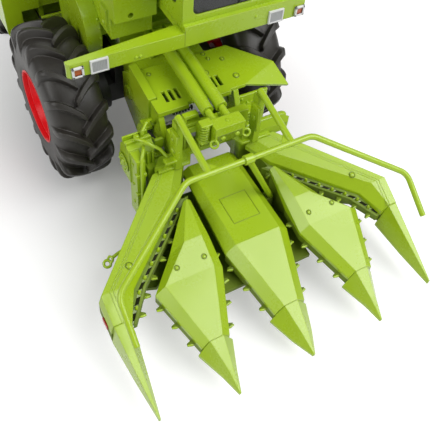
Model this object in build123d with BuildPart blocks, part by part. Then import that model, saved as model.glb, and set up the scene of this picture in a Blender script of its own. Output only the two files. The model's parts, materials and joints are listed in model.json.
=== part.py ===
"""Forage harvester with a row-crop maize header: a 1:32 scale model, in millimetres.

The machine faces -Y, +X is its own left-hand side and +Z is up.  The origin lies on the floor
below the middle of the front axle, which is also the middle of the model's length and width.
"""
import os
from math import cos, pi, sin, sqrt

from build123d import *

os.makedirs("parts", exist_ok=True)

# Overall layout
TIP_REACH = 103.1            # front axle to the tips of the inner dividers
TAIL_REACH = TIP_REACH       # front axle to the end of the tow tongue
RUN = 0.06                   # radial running clearance of a pin in its bore
GAP = 0.3                    # clearance between pieces that move past each other

# Front wheels
FRONT_R = 24.5               # tyre radius over the lugs
FRONT_W = 17.0               # tyre width
FRONT_TRACK = 30.5           # middle of the machine to the middle of a front tyre
FRONT_RIM_R = 11.3
FRONT_LUGS = 16
FRONT_LUG_H = 1.7
FRONT_PIN_R = 2.4
LUG_DRAFT = 6.0              # degrees

# Rear wheels and steering
REAR_Y = 74.0                # front axle to rear axle
REAR_R = 16.0
REAR_W = 11.0
REAR_TRACK = 28.0
REAR_RIM_R = 7.4
REAR_LUGS = 12
REAR_LUG_H = 1.1
REAR_PIN_R = 1.6
KINGPIN_X = 19.5
KINGPIN_R = 1.3
BEAM_HALF_H = 2.6            # half height of the rear axle beam
BEAM_HALF_W = 2.2

# Chassis
RAIL_X = 12.0                # middle of a rail
RAIL_W = 4.0
RAIL_Z0 = 28.0
RAIL_H = 7.5
RAIL_FRONT_Y = -4.0
TONGUE_LENGTH = 6.1
RAIL_BACK_Y = TAIL_REACH - TONGUE_LENGTH
AXLE_BOX = 7.0               # front axle housing, square
TONGUE_W = 10.0
TONGUE_T = 3.0
HITCH_R = 1.25
HITCH_INSET = 3.4            # end of the tongue to the middle of the hitch hole

# Intake and its pivot on the chopper drum housing
PIVOT_Y = -12.0
PIVOT_Z = 31.0
PIVOT_R = 2.4
DRUM_R = 10.0
DRUM_HALF_W = 11.0
WALL_T = 1.7
INTAKE_FRONT_Y = -37.0
INTAKE_Z0 = 17.0
HOOD_T = 1.0
HOOD_FRONT = (-32.4, 40.6)   # y and z of the hood's upper front edge
HOOD_BACK = (-16.5, 42.6)    # y and z of its upper rear edge
HOOD_HALF_W = 13.2
WING_X = 28.0                # outer end of the deflector wing on the left
WING_DROP = (1.6, -2.4, -3.2)  # from the wing's outer corner line to the tip of its folded facet
LIP_H = 1.5
LIP_T = 0.8
LIP_X = 3.6                  # inner ends of the lips
SLOTS = 3                    # on each side
SLOT_X = 4.8
SLOT_PITCH = 1.9
SLOT_W = 1.1
THROAT_Y = -29.5             # front edge of the intake's floor
ROLLERS = [(-27.5, 34.0), (-26.0, 22.4)]  # y and z
ROLL_R = 3.4
BORDER_OUT = 13.8            # outer face of the raised border on the right-hand wall
BORDER_FRONT = (-28.0, 41.7)
BORDER_BACK = (-15.0, 44.0)
BORDER_Z0 = 32.0

# Lift cylinders
CYL_X = 2.15
BARREL_R = 1.8
ROD_R = 1.0
BARREL_PIVOT = (-9.5, 47.6)  # y and z
ROD_EYE = (-47.5, 43.6)
BARREL_LENGTH = 31.8
CYL_PIN_R = 0.8
EYE_R = 1.5
EYE_PIN_R = 0.5
EYE_PLAY = 0.3               # radial room of the rod's eye round its pin
CHEEK_T = 1.1                # side walls of the channel that takes the rods' eyes
CHANNEL_T = 0.8
# bars of the bracket beside the channel: columns: x from and to, z from and to
BRACKET = [((-8.2, -7.4), (27, 42.4)), ((-3.4, -2.7), (27, 39.4)), ((-8.2, -3.8), (41.4, 42.4)),
           ((-8.2, -2.7), (38.4, 39.4))]

# Header
FRAME_T = 2.6                # depth of the coupling frame between intake and header
HEADER_BACK_Y = INTAKE_FRONT_Y - FRAME_T
POST_X = (9.6, 12.6)         # coupling posts
BACK_X = (9.4, 20.5)         # rear plates of the header
BACK_T = 2.4
BACK_TOP = 30.0
TOP_BEAM_Z = (28.0, 31.3)    # rear top beam of the header
TOP_BEAM_Y = (-43.2, -40.0)
ARM_Z0 = 8.6                 # underside of the header at the back
ARM_H = 4.0                  # height of the arms below the covers
ARM_INSET = 2.2              # edge of a cover to the side of its arm
SKIRT = 0.9                  # upright edge of a cover
FLOOR_T = 1.4
FLOOR_Z = 9.6
# columns: x, distance ahead of the header's back
FLOOR_OUTLINE = [(4, 1), (20.5, 1), (26, 9.4), (37, 24.9), (30, 27.4), (20, 20.4), (15.5, 26.4), (15, 37.4),
                 (4, 37.4)]
ARM_BACK_ROWS = 20.0         # rows of the covers nearer to the back than this have a deep arm
BAR_R = 0.85                 # guide bar
ARM_R = 0.95                 # arms that carry the guide bar
ARM_X = 12.6
ARM_BACK = (-43.4, 48.5)     # y and z of the arms' rear ends
STRUT_R = 0.85
STRUT_X = -0.9               # where the strut meets the guide bar
STRUT_FOOT = (12.4, -57.0, 17.5)
CHAIN_T = 1.0                # gathering chains: thickness and height of the strip
CHAIN_H = 2.2
FINGER_OUT = 1.5
FINGER_W = 1.0
FINGER_PITCH = 6.2

# Front beam and lamps
BEAM_Y = -28.7               # front face
BEAM_HALF = 35.4
BEAM_LOW = 57.1
BEAM_HIGH = 63.3
BEAM_STEP = 1.8              # the right-hand part of the beam is this much lower
BEAM_END = 0.8               # bevel of its outer ends
BEAM_PLATE = 1.5
LAMP_INSET = (8.2, 10.4)     # ends of the beam to the headlamps' middles, right and left
LAMP_X = (LAMP_INSET[0] - BEAM_HALF, BEAM_HALF - LAMP_INSET[1])
LAMP_W = 4.8
LAMP_H = 4.0
TURN_X = BEAM_HALF - 2.5
TURN_W = 2.8
TURN_H = 2.8
LAMP_T = 0.6
BEZEL = 0.45                 # frame of a lamp
LENS_DEPTH = 0.25

# Platform and cab
PLATFORM_TOP = 61.5
PLATFORM_T = 2.0
WALK_BACK_Y = 37.0
CAB_X0 = -3.3
CAB_X1 = BEAM_HALF - 6.4
CAB_BACK_Y = 8.0
CAB_TOP = 106.0
CAB_T = 1.4
ROOF_H = 4.5
ROOF_LIP = 1.0
GLASS_T = 0.5

# Crop tower and spout
TOWER_X0 = -16.8
TOWER_X1 = -4.4
TOWER_FRONT_Y = -14.0
TOWER_BACK_Y = 14.0
TOWER_TOP = 82.0
TOWER_STEPS = (46.0, 51.0, 58.0)  # heights where the tower's front steps forward
TURRET_Y = 1.0
TURRET_R = 5.6
SPOUT_W = 8.0
SPOUT_H = 7.0
SPOUT_RISE = 19.0            # straight neck above the turret
SPOUT_BEND_R = 13.0
SPOUT_RUN = 34.0
SPOUT_DROP_R = 70.0
SPOUT_DROP = 26.0            # degrees of the drooping arc
FLAP_LENGTH = 10.0
FLAP_T = 1.0
HINGE_R = 0.5

# Engine hood and tank
HOOD_X = BEAM_HALF - 9.4
HOOD_Y0 = 26.0
HOOD_Z1 = 74.0
HOOD_WALL = 1.4
SCREEN_R = 12.5
SCREEN_INSET = 27.0          # end of the rails to the middle of the screen
EXHAUST_INSET = 35.0
LOUVRES = 5                  # slots in each side of the hood
LOUVRE_H = 1.2
LOUVRE_PITCH = 3.0
TANK_W = 11.2                # out from the hood's side
TANK_X1 = -HOOD_X - TANK_W
TANK_Y0 = 25.5
TANK_Y1 = 52.0
TANK_Z = (29.0, 40.0, 58.0)  # foot of the outer leg, underside and top
TANK_LEG = 5.4
GUARD_X0 = -21.4             # outer face of the drive guard
GUARD_AXIS = (8.0, 46.0)     # y and z
GUARD_R = 11.5
LADDER_Y = (27.5, 36.0)
LADDER_Z0 = 18.0

RAIL_Z1 = RAIL_Z0 + RAIL_H
CAB_FRONT_Y = BEAM_Y + BEAM_PLATE
TURRET_X = (TOWER_X0 + TOWER_X1) / 2
HEADER_LENGTH = TIP_REACH + HEADER_BACK_Y


def keep(piece, label):
    """Label a finished piece and write it to its own file."""
    piece.label = label
    export_step(piece, f"parts/{label}.step")


def block(x, y, z, mode=Mode.ADD):
    """A box between two x, two y and two z values."""
    with Locations(((x[0] + x[1]) / 2, (y[0] + y[1]) / 2, (z[0] + z[1]) / 2)):
        Box(abs(x[1] - x[0]), abs(y[1] - y[0]), abs(z[1] - z[0]), mode=mode)


def rod(start, end, radius, mode=Mode.ADD):
    """A round bar from one point to another."""
    run = Vector(*end) - Vector(*start)
    with BuildSketch(Plane(origin=start, z_dir=run)) as end_face:
        Circle(radius)
    extrude(end_face.sketch, amount=run.length, mode=mode)


def profile_x(points, x, mode=Mode.ADD):
    """An outline of (y, z) points, extruded from x[0] to x[1]."""
    with BuildSketch(Plane.YZ.offset(x[0])) as outline:
        Polygon(*points, align=None)
    extrude(outline.sketch, amount=x[1] - x[0], dir=(1, 0, 0), mode=mode)


def profile_z(points, z, mode=Mode.ADD):
    """An outline of (x, y) points, extruded from z[0] to z[1]."""
    with BuildSketch(Plane.XY.offset(z[0])) as outline:
        Polygon(*points, align=None)
    extrude(outline.sketch, amount=z[1] - z[0], dir=(0, 0, 1), mode=mode)


def loft_along_y(sections):
    """A ruled body through outlines of (x, z) points, each standing at its own y."""
    outlines = []
    for y, points in sections:
        with BuildSketch(Plane.XZ.offset(-y)) as outline:
            Polygon(*points, align=None)
        outlines.append(outline.sketch)
    loft(outlines, ruled=True)


def both_sides(right, left):
    """+1 builds the left-hand piece and -1 the right-hand one."""
    return ((1, left), (-1, right))


# Wheels
# columns: across and around, as shares of the tyre's width
LUG_PLAN = [(-0.05, 0.0), (0.44, 0.37), (0.44, 0.51), (-0.05, 0.13)]


def tyre(label, side, axle_y, radius, width, track, rim_r, lugs, lug_h):
    """A carcass of revolution with two rows of drafted, slanting lugs that reach down its shoulders."""
    section = radius - rim_r
    middle = (side * track, axle_y, radius)
    upright = Plane(origin=middle, x_dir=(1, 0, 0), z_dir=(0, -1, 0))
    flank = [(0.40 * width, rim_r), (0.5 * width, rim_r + 0.5 * section),
             (0.465 * width, rim_r + 0.70 * section), (0.30 * width, radius - lug_h)]
    lean = sum(around for _, around in LUG_PLAN) / len(LUG_PLAN)
    reach = width * max(abs(around - lean) for _, around in LUG_PLAN)
    top, foot = sqrt(radius ** 2 - reach ** 2), rim_r + 0.71 * section
    with BuildPart() as made:
        with BuildSketch(upright):
            Polygon(*flank, *[(-x, z) for x, z in reversed(flank)], align=None)
        revolve(axis=Axis(middle, (1, 0, 0)))
        for row in (1, -1):
            planes = []
            for k in range(lugs):
                a = 2 * pi * (k + (1 - row) / 4) / lugs
                out = Vector(0, cos(a), sin(a))
                planes.append(Plane(origin=Vector(*middle) + out * top, x_dir=(row, 0, 0), z_dir=-out))
            with BuildSketch(*planes):
                Polygon(*[(x * width, row * (lean - around) * width) for x, around in LUG_PLAN], align=None)
            extrude(amount=top - foot, taper=-LUG_DRAFT)
    keep(made.part, label)


def rim(label, side, axle_y, radius, width, track, rim_r, pin_r):
    """A dished wheel centre with a hub that runs on the stub axle and a cap over its outer end."""
    middle = (side * track, axle_y, radius)
    upright = Plane(origin=middle, x_dir=(side, 0, 0), z_dir=(0, -side, 0))
    lip, dish, hub = 0.4 * width, 0.12 * width, 0.36 * rim_r
    cap = dish + 0.16 * width
    with BuildPart() as made:
        with BuildSketch(upright):
            Polygon((-lip, rim_r), (lip, rim_r), (lip, 0.9 * rim_r), (dish + 0.14 * width, 0.78 * rim_r),
                    (dish, 0.52 * rim_r), (dish, hub), (cap, 0.85 * hub), (cap, 0), (dish, 0),
                    (dish, pin_r + RUN),
                    (-lip, pin_r + RUN), (-lip, hub), (-0.1 * width, hub), (-lip, 0.86 * rim_r), align=None)
        revolve(axis=Axis(middle, (1, 0, 0)))
    keep(made.part, label)


for side, hand in both_sides("right", "left"):
    tyre(f"front_tyre_{hand}", side, 0, FRONT_R, FRONT_W, FRONT_TRACK, FRONT_RIM_R, FRONT_LUGS, FRONT_LUG_H)
    rim(f"front_rim_{hand}", side, 0, FRONT_R, FRONT_W, FRONT_TRACK, FRONT_RIM_R, FRONT_PIN_R)
    tyre(f"rear_tyre_{hand}", side, REAR_Y, REAR_R, REAR_W, REAR_TRACK, REAR_RIM_R, REAR_LUGS, REAR_LUG_H)
    rim(f"rear_rim_{hand}", side, REAR_Y, REAR_R, REAR_W, REAR_TRACK, REAR_RIM_R, REAR_PIN_R)

# Chassis
with BuildPart() as chassis_frame:
    for side in (1, -1):
        rail = (side * RAIL_X - RAIL_W / 2, side * RAIL_X + RAIL_W / 2)
        block(rail, (RAIL_FRONT_Y, RAIL_BACK_Y), (RAIL_Z0, RAIL_Z1))
        block(rail, (TOWER_BACK_Y + 1, TOWER_BACK_Y + 5), (RAIL_Z1, PLATFORM_TOP - PLATFORM_T))
    for y in (22.0, 48.0, REAR_Y, RAIL_BACK_Y - 2):
        block((-RAIL_X, RAIL_X), (y - 2, y + 2), (RAIL_Z0, RAIL_Z1))
    block((-HOOD_X, HOOD_X), (HOOD_Y0, RAIL_BACK_Y), (RAIL_Z1 - 1.5, RAIL_Z1))
keep(chassis_frame.part, "chassis_frame")

with BuildPart() as front_axle:
    inner = FRONT_TRACK - FRONT_W / 2 - 1.5
    block((-inner, inner), (-AXLE_BOX / 2, AXLE_BOX / 2), (RAIL_Z0 - AXLE_BOX, RAIL_Z0))
    for side in (1, -1):
        rod((side * (inner - 4), 0, FRONT_R), (side * inner, 0, FRONT_R), 6.5)
        rod((side * inner, 0, FRONT_R), (side * (FRONT_TRACK + 0.12 * FRONT_W - 0.2), 0, FRONT_R), FRONT_PIN_R)
keep(front_axle.part, "front_axle")

with BuildPart() as rear_axle:
    low, high = REAR_R - BEAM_HALF_H, REAR_R + BEAM_HALF_H
    block((-KINGPIN_X, KINGPIN_X), (REAR_Y - BEAM_HALF_W, REAR_Y + BEAM_HALF_W), (low, high))
    profile_x([(REAR_Y - 5, RAIL_Z0), (REAR_Y - BEAM_HALF_W, REAR_R), (REAR_Y + BEAM_HALF_W, REAR_R),
               (REAR_Y + 5, RAIL_Z0)], (-9, 9))
    for side in (1, -1):
        rod((side * KINGPIN_X, REAR_Y, low), (side * KINGPIN_X, REAR_Y, high), BEAM_HALF_W)
        rod((side * KINGPIN_X, REAR_Y, REAR_R - 6.0), (side * KINGPIN_X, REAR_Y, REAR_R + 6.0), KINGPIN_R)
keep(rear_axle.part, "rear_axle")

for side, hand in both_sides("right", "left"):
    with BuildPart() as knuckle:
        stub_x = side * (REAR_TRACK + 0.12 * REAR_W - 0.2)
        for end in (1, -1):
            low = REAR_R + end * (BEAM_HALF_H + GAP)
            block((side * (KINGPIN_X - 2.2), side * (KINGPIN_X + 3.8)), (REAR_Y - 2.2, REAR_Y + 2.2),
                  (low, low + end * 2.6))
        block((side * (KINGPIN_X + 2.6), side * (KINGPIN_X + 3.8)), (REAR_Y - 2.2, REAR_Y + 2.2),
              (REAR_R - BEAM_HALF_H - GAP - 2.6, REAR_R + BEAM_HALF_H + GAP + 2.6))
        rod((side * (KINGPIN_X + 3.0), REAR_Y, REAR_R), (stub_x, REAR_Y, REAR_R), REAR_PIN_R)
        rod((side * KINGPIN_X, REAR_Y, REAR_R - 9), (side * KINGPIN_X, REAR_Y, REAR_R + 9), KINGPIN_R + RUN,
            Mode.SUBTRACT)
    keep(knuckle.part, f"rear_knuckle_{hand}")

with BuildPart() as tow_tongue:
    tongue_z = RAIL_Z0 + 2
    profile_z([(-TONGUE_W / 2, RAIL_BACK_Y), (TONGUE_W / 2, RAIL_BACK_Y), (TONGUE_W / 2 - 2, TAIL_REACH),
               (2 - TONGUE_W / 2, TAIL_REACH)], (tongue_z, tongue_z + TONGUE_T))
    with Locations((0, TAIL_REACH - HITCH_INSET, tongue_z + TONGUE_T)):
        Hole(HITCH_R)
keep(tow_tongue.part, "tow_tongue")

# Chopper drum housing and intake
with BuildPart() as chopper_housing:
    rod((-DRUM_HALF_W, PIVOT_Y, PIVOT_Z), (DRUM_HALF_W, PIVOT_Y, PIVOT_Z), DRUM_R)
    block((-DRUM_HALF_W, DRUM_HALF_W), (PIVOT_Y, RAIL_FRONT_Y), (PIVOT_Z - DRUM_R, PIVOT_Z + DRUM_R))
    pin_end = DRUM_HALF_W + GAP + WALL_T + 0.6
    rod((-pin_end, PIVOT_Y, PIVOT_Z), (pin_end, PIVOT_Y, PIVOT_Z), PIVOT_R)
    block((-DRUM_HALF_W, DRUM_HALF_W), (RAIL_FRONT_Y, RAIL_FRONT_Y + DRUM_R),
          (PIVOT_Z - DRUM_R - 1, PIVOT_Z + DRUM_R + 1), Mode.SUBTRACT)
    py, pz = BARREL_PIVOT
    cheek = CYL_X + BARREL_R + GAP
    for side in (1, -1):
        profile_x([(py - 2.4, PIVOT_Z + DRUM_R - 0.5), (py - 1.4, pz + 1.4), (py + 1.4, pz + 1.4),
                   (py + 2.4, PIVOT_Z + DRUM_R - 0.5)], (side * cheek, side * (cheek + 1.2)))
    rod((-cheek - 1.4, py, pz), (cheek + 1.4, py, pz), CYL_PIN_R)
keep(chopper_housing.part, "chopper_housing")

WALL_IN = DRUM_HALF_W + GAP
WALL_OUT = WALL_IN + WALL_T
with BuildPart() as intake_housing:
    wall = [(HOOD_BACK[0], HOOD_BACK[1] - HOOD_T), (PIVOT_Y + 4, PIVOT_Z + 5), (PIVOT_Y + 4, PIVOT_Z - 5),
            (PIVOT_Y - 8, INTAKE_Z0), (INTAKE_FRONT_Y, INTAKE_Z0), (INTAKE_FRONT_Y, PIVOT_Z - 1),
            (HOOD_FRONT[0], HOOD_FRONT[1] - HOOD_T)]
    profile_x(wall, (WALL_IN, WALL_OUT))
    profile_x(wall, (-WALL_OUT, -WALL_IN))
    profile_x([(BORDER_FRONT[0], BORDER_Z0), BORDER_FRONT, BORDER_BACK, (BORDER_BACK[0], BORDER_Z0)],
              (-BORDER_OUT, -WALL_IN))
    block((-WALL_OUT, WALL_OUT), (THROAT_Y, PIVOT_Y - DRUM_R - 2.5), (INTAKE_Z0, INTAKE_Z0 + 1.5))
    rod((-20, PIVOT_Y, PIVOT_Z), (20, PIVOT_Y, PIVOT_Z), PIVOT_R + RUN, Mode.SUBTRACT)
keep(intake_housing.part, "intake_housing")

with BuildPart() as feed_rollers:
    for y, z in ROLLERS:
        profile_x([(y + ROLL_R * cos(k * pi / 3), z + ROLL_R * sin(k * pi / 3)) for k in range(6)],
                  (GAP - WALL_IN, WALL_IN - GAP))
keep(feed_rollers.part, "feed_rollers")

with BuildPart() as intake_hood:
    fy, fz = HOOD_FRONT
    by, bz = HOOD_BACK
    notch_x, corner_x = WALL_IN - 0.2, HOOD_HALF_W + 2
    profile_x([(fy, fz), (by, bz), (by, bz - HOOD_T), (fy, fz - HOOD_T)], (-HOOD_HALF_W, WING_X))
    profile_z([(-HOOD_HALF_W, fy), (corner_x, fy), (WING_X, fy + 5), (HOOD_HALF_W + 4, by), (-notch_x, by),
               (-notch_x, BORDER_FRONT[0] - 0.2), (-HOOD_HALF_W, BORDER_FRONT[0] - 0.2)],
              (fz - 10, bz + 10), Mode.INTERSECT)
    for x in ((-HOOD_HALF_W, -LIP_X), (LIP_X, HOOD_HALF_W - 3)):
        block(x, (fy - LIP_T, fy + 0.3), (fz - LIP_H, fz))
    for side in (1, -1):
        for slot in range(SLOTS):
            x = side * (SLOT_X + SLOT_PITCH * slot)
            block((x - SLOT_W / 2, x + SLOT_W / 2), (fy + 2.2, fy + 6.2), (fz - 4, fz + 4), Mode.SUBTRACT)
    corner = Vector(corner_x, fy, fz)
    tip = Vector(WING_X, fy + 5, fz + 5 * (bz - fz) / (by - fy))
    fold = tip - corner
    drop = Vector(WING_X, fy, fz) + Vector(*WING_DROP) - corner
    facet = Plane(origin=corner, x_dir=fold, z_dir=fold.cross(drop))
    with BuildSketch(facet) as flap:
        Polygon((0, 0), (fold.length, 0), (drop.dot(facet.x_dir), drop.dot(facet.y_dir)), align=None)
    extrude(flap.sketch, amount=HOOD_T)
keep(intake_hood.part, "intake_hood")

with BuildPart() as coupling_frame:
    deep = (HEADER_BACK_Y, INTAKE_FRONT_Y)
    mid = ((deep[0] + deep[1]) / 2 - 0.9, (deep[0] + deep[1]) / 2 + 0.9)
    for side in (1, -1):
        block((side * POST_X[0], side * POST_X[1]), deep, (INTAKE_Z0 - 1, 37))
    block((-POST_X[1], POST_X[1]), deep, (36, 38))
    block((-POST_X[1], POST_X[1]), mid, (26.6, 28.2))
    for x, z in BRACKET:
        block(x, mid, z)
    ey, ez = ROD_EYE
    cheek = CYL_X + 1 + GAP
    front, back = ey - EYE_R - GAP, ey + EYE_R
    low, high = ez - EYE_R - GAP, ez + EYE_R + GAP
    wide = (-cheek - CHEEK_T, cheek + CHEEK_T)
    block(wide, (front - CHANNEL_T, back), (high, high + CHANNEL_T))
    block(wide, (front - CHANNEL_T, front), (low - CHANNEL_T, high + CHANNEL_T))
    block(wide, (front - CHANNEL_T, back + 1), (low - CHANNEL_T, low))
    for x in ((-cheek - CHEEK_T, -cheek), (cheek, cheek + CHEEK_T)):
        profile_x([(front - CHANNEL_T, low - CHANNEL_T), (front - CHANNEL_T, high + CHANNEL_T),
                   (back, high + CHANNEL_T), (back + 1, low), (deep[1], 38), (deep[1], 36), (deep[0], 36)], x)
    rod((wide[0], ey, ez), (wide[1], ey, ez), EYE_PIN_R)
keep(coupling_frame.part, "coupling_frame")

# Lift cylinders
reach = Vector(0, ROD_EYE[0] - BARREL_PIVOT[0], ROD_EYE[1] - BARREL_PIVOT[1]).normalized()
with BuildPart() as lift_barrels:
    for side in (1, -1):
        start = Vector(side * CYL_X, *BARREL_PIVOT)
        rod(tuple(start), tuple(start + reach * BARREL_LENGTH), BARREL_R)
        rod(tuple(start + reach * 4), tuple(start + reach * (BARREL_LENGTH + 1)), ROD_R + RUN, Mode.SUBTRACT)
    for side in (1, -1):
        x = side * CYL_X
        rod((x - BARREL_R + 0.2, *BARREL_PIVOT), (x + BARREL_R - 0.2, *BARREL_PIVOT), BARREL_R + 0.3)
    rod((-9, *BARREL_PIVOT), (9, *BARREL_PIVOT), CYL_PIN_R + RUN, Mode.SUBTRACT)
keep(lift_barrels.part, "lift_barrels")

with BuildPart() as lift_rods:
    for side in (1, -1):
        start = Vector(side * CYL_X, *BARREL_PIVOT)
        rod(tuple(start + reach * 12), tuple(Vector(side * CYL_X, *ROD_EYE)), ROD_R)
        rod((side * CYL_X - 1, *ROD_EYE), (side * CYL_X + 1, *ROD_EYE), EYE_R)
    rod((-9, *ROD_EYE), (9, *ROD_EYE), EYE_PIN_R + EYE_PLAY, Mode.SUBTRACT)
keep(lift_rods.part, "lift_rods")

# Covers of the dividers: each row is one cross-section
# columns: distance ahead of the header's back, inner and outer foot, z of the top, rise of both slopes
DRAWN_LENGTH = 63.5          # header length that the rows are drawn for
SNOUT_ROWS = [
    (13.9, 13.2, 15.4, 26.4, 0.91, 0.73),
    (24.8, 12.8, 25.0, 23.7, 2.27, 4.00),
    (33.2, 12.9, 33.2, 20.2, 2.55, 2.64),
    (50.0, 19.6, 28.0, 14.5, 2.09, 2.00),
]
SNOUT_NOSE = [
    (50.1, 18.4, 28.8, 14.6, 5.50, 5.17),
    (57.9, 21.4, 25.6, 10.4, 2.20, 2.50),
    (63.5, 23.1, 23.7, 6.9, 0.25, 0.25),
]
CENTRE_ROWS = [
    (4.4, -9.0, 9.0, 22.9, 1.90, 1.90),
    (30.1, -10.2, 10.2, 20.6, 2.80, 2.80),
    (49.6, -5.0, 5.0, 13.4, 2.55, 2.55),
]
CENTRE_NOSE = [
    (49.7, -6.0, 6.0, 13.4, 5.40, 5.40),
    (57.4, -3.2, 3.2, 10.2, 3.05, 3.05),
    (63.5, -0.35, 0.35, 6.9, 0.28, 0.28),
]
OUTER_ROWS = [
    (3.8, 10.5, 20.7, 29.2, 1.92, 2.67),
    (10.9, 12.2, 28.2, 27.0, 2.15, 2.67),
    (29.0, 33.8, 47.2, 21.2, 2.92, 2.67),
    (36.4, 40.0, 47.2, 17.4, 1.85, 2.67),
]
OUTER_NOSE = [
    (36.5, 39.4, 47.2, 17.2, 7.20, 7.20),
    (48.4, 42.5, 46.2, 11.8, 4.00, 4.00),
    (59.8, 44.4, 45.0, 6.7, 0.60, 0.60),
]
# run of the inner and outer slope per unit of rise
SNOUT_SLOPES, SNOUT_NOSE_SLOPES = (1.1, 1.1), (0.6, 0.6)
CENTRE_SLOPES, CENTRE_NOSE_SLOPES = (1.1, 1.1), (0.72, 0.72)
OUTER_SLOPES, OUTER_NOSE_SLOPES = (1.3, 0.3), (0.4, 0.12)


def ahead(distance):
    """The y of a point of the header, fitted to the header's length."""
    return HEADER_BACK_Y - distance * HEADER_LENGTH / DRAWN_LENGTH


def underside(row):
    """The z of a cover's lower edges at one of its rows."""
    return row[3] - max(row[4], row[5]) - SKIRT


def cover(label, side, rows, slopes, nose, nose_slopes):
    """The sheet cover of a divider, with flat slopes on both sides, and its hinged nose in front."""
    with BuildPart() as made:
        for part, (slope_in, slope_out) in ((rows, slopes), (nose, nose_slopes)):
            sections = []
            for row in part:
                distance, inner, outer, top, rise_in, rise_out = row
                low = underside(row)
                points = [(inner, low), (inner, top - rise_in), (inner + slope_in * rise_in, top),
                          (outer - slope_out * rise_out, top), (outer, top - rise_out), (outer, low)]
                sections.append((ahead(distance), [(side * x, z) for x, z in points]))
            loft_along_y(sections)
    keep(made.part, label)


def arm(side, rows, outer_inset):
    """The bar below a cover, as high as the cover's underside and deepest at the back."""
    sections = []
    for row in rows:
        high = underside(row)
        low = ARM_Z0 if row[0] < ARM_BACK_ROWS else high - ARM_H
        inset = min(ARM_INSET, 0.3 * (row[2] - row[1]))
        x0, x1 = side * (row[1] + inset), side * (row[2] - min(inset, outer_inset))
        sections.append((ahead(row[0]), [(x0, low), (x1, low), (x1, high), (x0, high)]))
    loft_along_y(sections)


def chain(side, rows, inner):
    """A gathering chain below one edge of a cover: a strip with fingers that stand out into the row."""
    out = -1 if inner else 1
    line = [Vector(row[1] if inner else row[2], ahead(row[0]), underside(row)) for row in rows]
    sections = []
    for p in line:
        near, far = side * p.X, side * (p.X - out * CHAIN_T)
        sections.append((p.Y, [(near, p.Z), (far, p.Z), (far, p.Z - CHAIN_H), (near, p.Z - CHAIN_H)]))
    loft_along_y(sections)
    for start, end in zip(line, line[1:]):
        run = end - start
        along = Vector(run.X, run.Y, 0).normalized()
        across = Vector(0, 0, 1).cross(along)
        across = across * (1 if across.X * out > 0 else -1)
        count = max(1, round(run.length / FINGER_PITCH))
        for k in range(count):
            foot = start + run * ((k + 0.5) / count)
            points = [foot - across * 0.3 - along * FINGER_W, foot - across * 0.3 + along * FINGER_W,
                      foot + across * FINGER_OUT - along * FINGER_W]
            profile_z([(side * p.X, p.Y) for p in points], (foot.Z - CHAIN_H + 0.4, foot.Z - 0.8))


with BuildPart() as header_frame:
    arm(1, CENTRE_ROWS, ARM_INSET)
    for side in (1, -1):
        arm(side, SNOUT_ROWS, ARM_INSET)
        arm(side, OUTER_ROWS, 0)
        block((side * BACK_X[0], side * BACK_X[1]), (HEADER_BACK_Y - BACK_T, HEADER_BACK_Y), (ARM_Z0, BACK_TOP))
        block((side * (ARM_X - 1), side * (ARM_X + 1)), (ARM_BACK[0] - 1.6, ARM_BACK[0] + 1),
              (BACK_TOP - 0.6, ARM_BACK[1] - 1.5))
        profile_z([(side * x, ahead(d)) for x, d in FLOOR_OUTLINE], (FLOOR_Z, FLOOR_Z + FLOOR_T))
    block((STRUT_FOOT[0] - 5, STRUT_FOOT[0] + 0.4), (ahead(18.4), ahead(15.4)), (FLOOR_Z, STRUT_FOOT[2]))
    y0, y1 = TOP_BEAM_Y
    profile_z([(9, y1), (25, y1), (26.6, (y0 + y1) / 2), (25, y0), (9, y0)], TOP_BEAM_Z)
    profile_z([(-9, y1), (-16.3, y1), (-19.2, y0), (-9, y0)], TOP_BEAM_Z)
keep(header_frame.part, "header_frame")

with BuildPart() as header_gearbox:
    back = HEADER_BACK_Y
    profile_x([(back, 24), (back + 6, 24), (back + 7, 30), (back + 6, 35), (back + 3.6, 37.5),
               (back + 0.6, 36.5), (back, 34)], (-25, -17.5))
    block((-24.6, -22), (back - 3.8, back + 1), (12, 36))
keep(header_gearbox.part, "header_gearbox")

for side, hand in both_sides("right", "left"):
    cover(f"snout_{hand}", side, SNOUT_ROWS, SNOUT_SLOPES, SNOUT_NOSE, SNOUT_NOSE_SLOPES)
    cover(f"outer_divider_{hand}", side, OUTER_ROWS, OUTER_SLOPES, OUTER_NOSE, OUTER_NOSE_SLOPES)
cover("snout_centre", 1, CENTRE_ROWS, CENTRE_SLOPES, CENTRE_NOSE, CENTRE_NOSE_SLOPES)

with BuildPart() as gathering_chains:
    for side in (1, -1):
        chain(side, OUTER_ROWS[1:], inner=True)
        chain(side, SNOUT_ROWS[1:], inner=True)
        chain(side, SNOUT_ROWS[2:], inner=False)
        chain(side, CENTRE_ROWS[1:], inner=False)
keep(gathering_chains.part, "gathering_chains")

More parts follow.
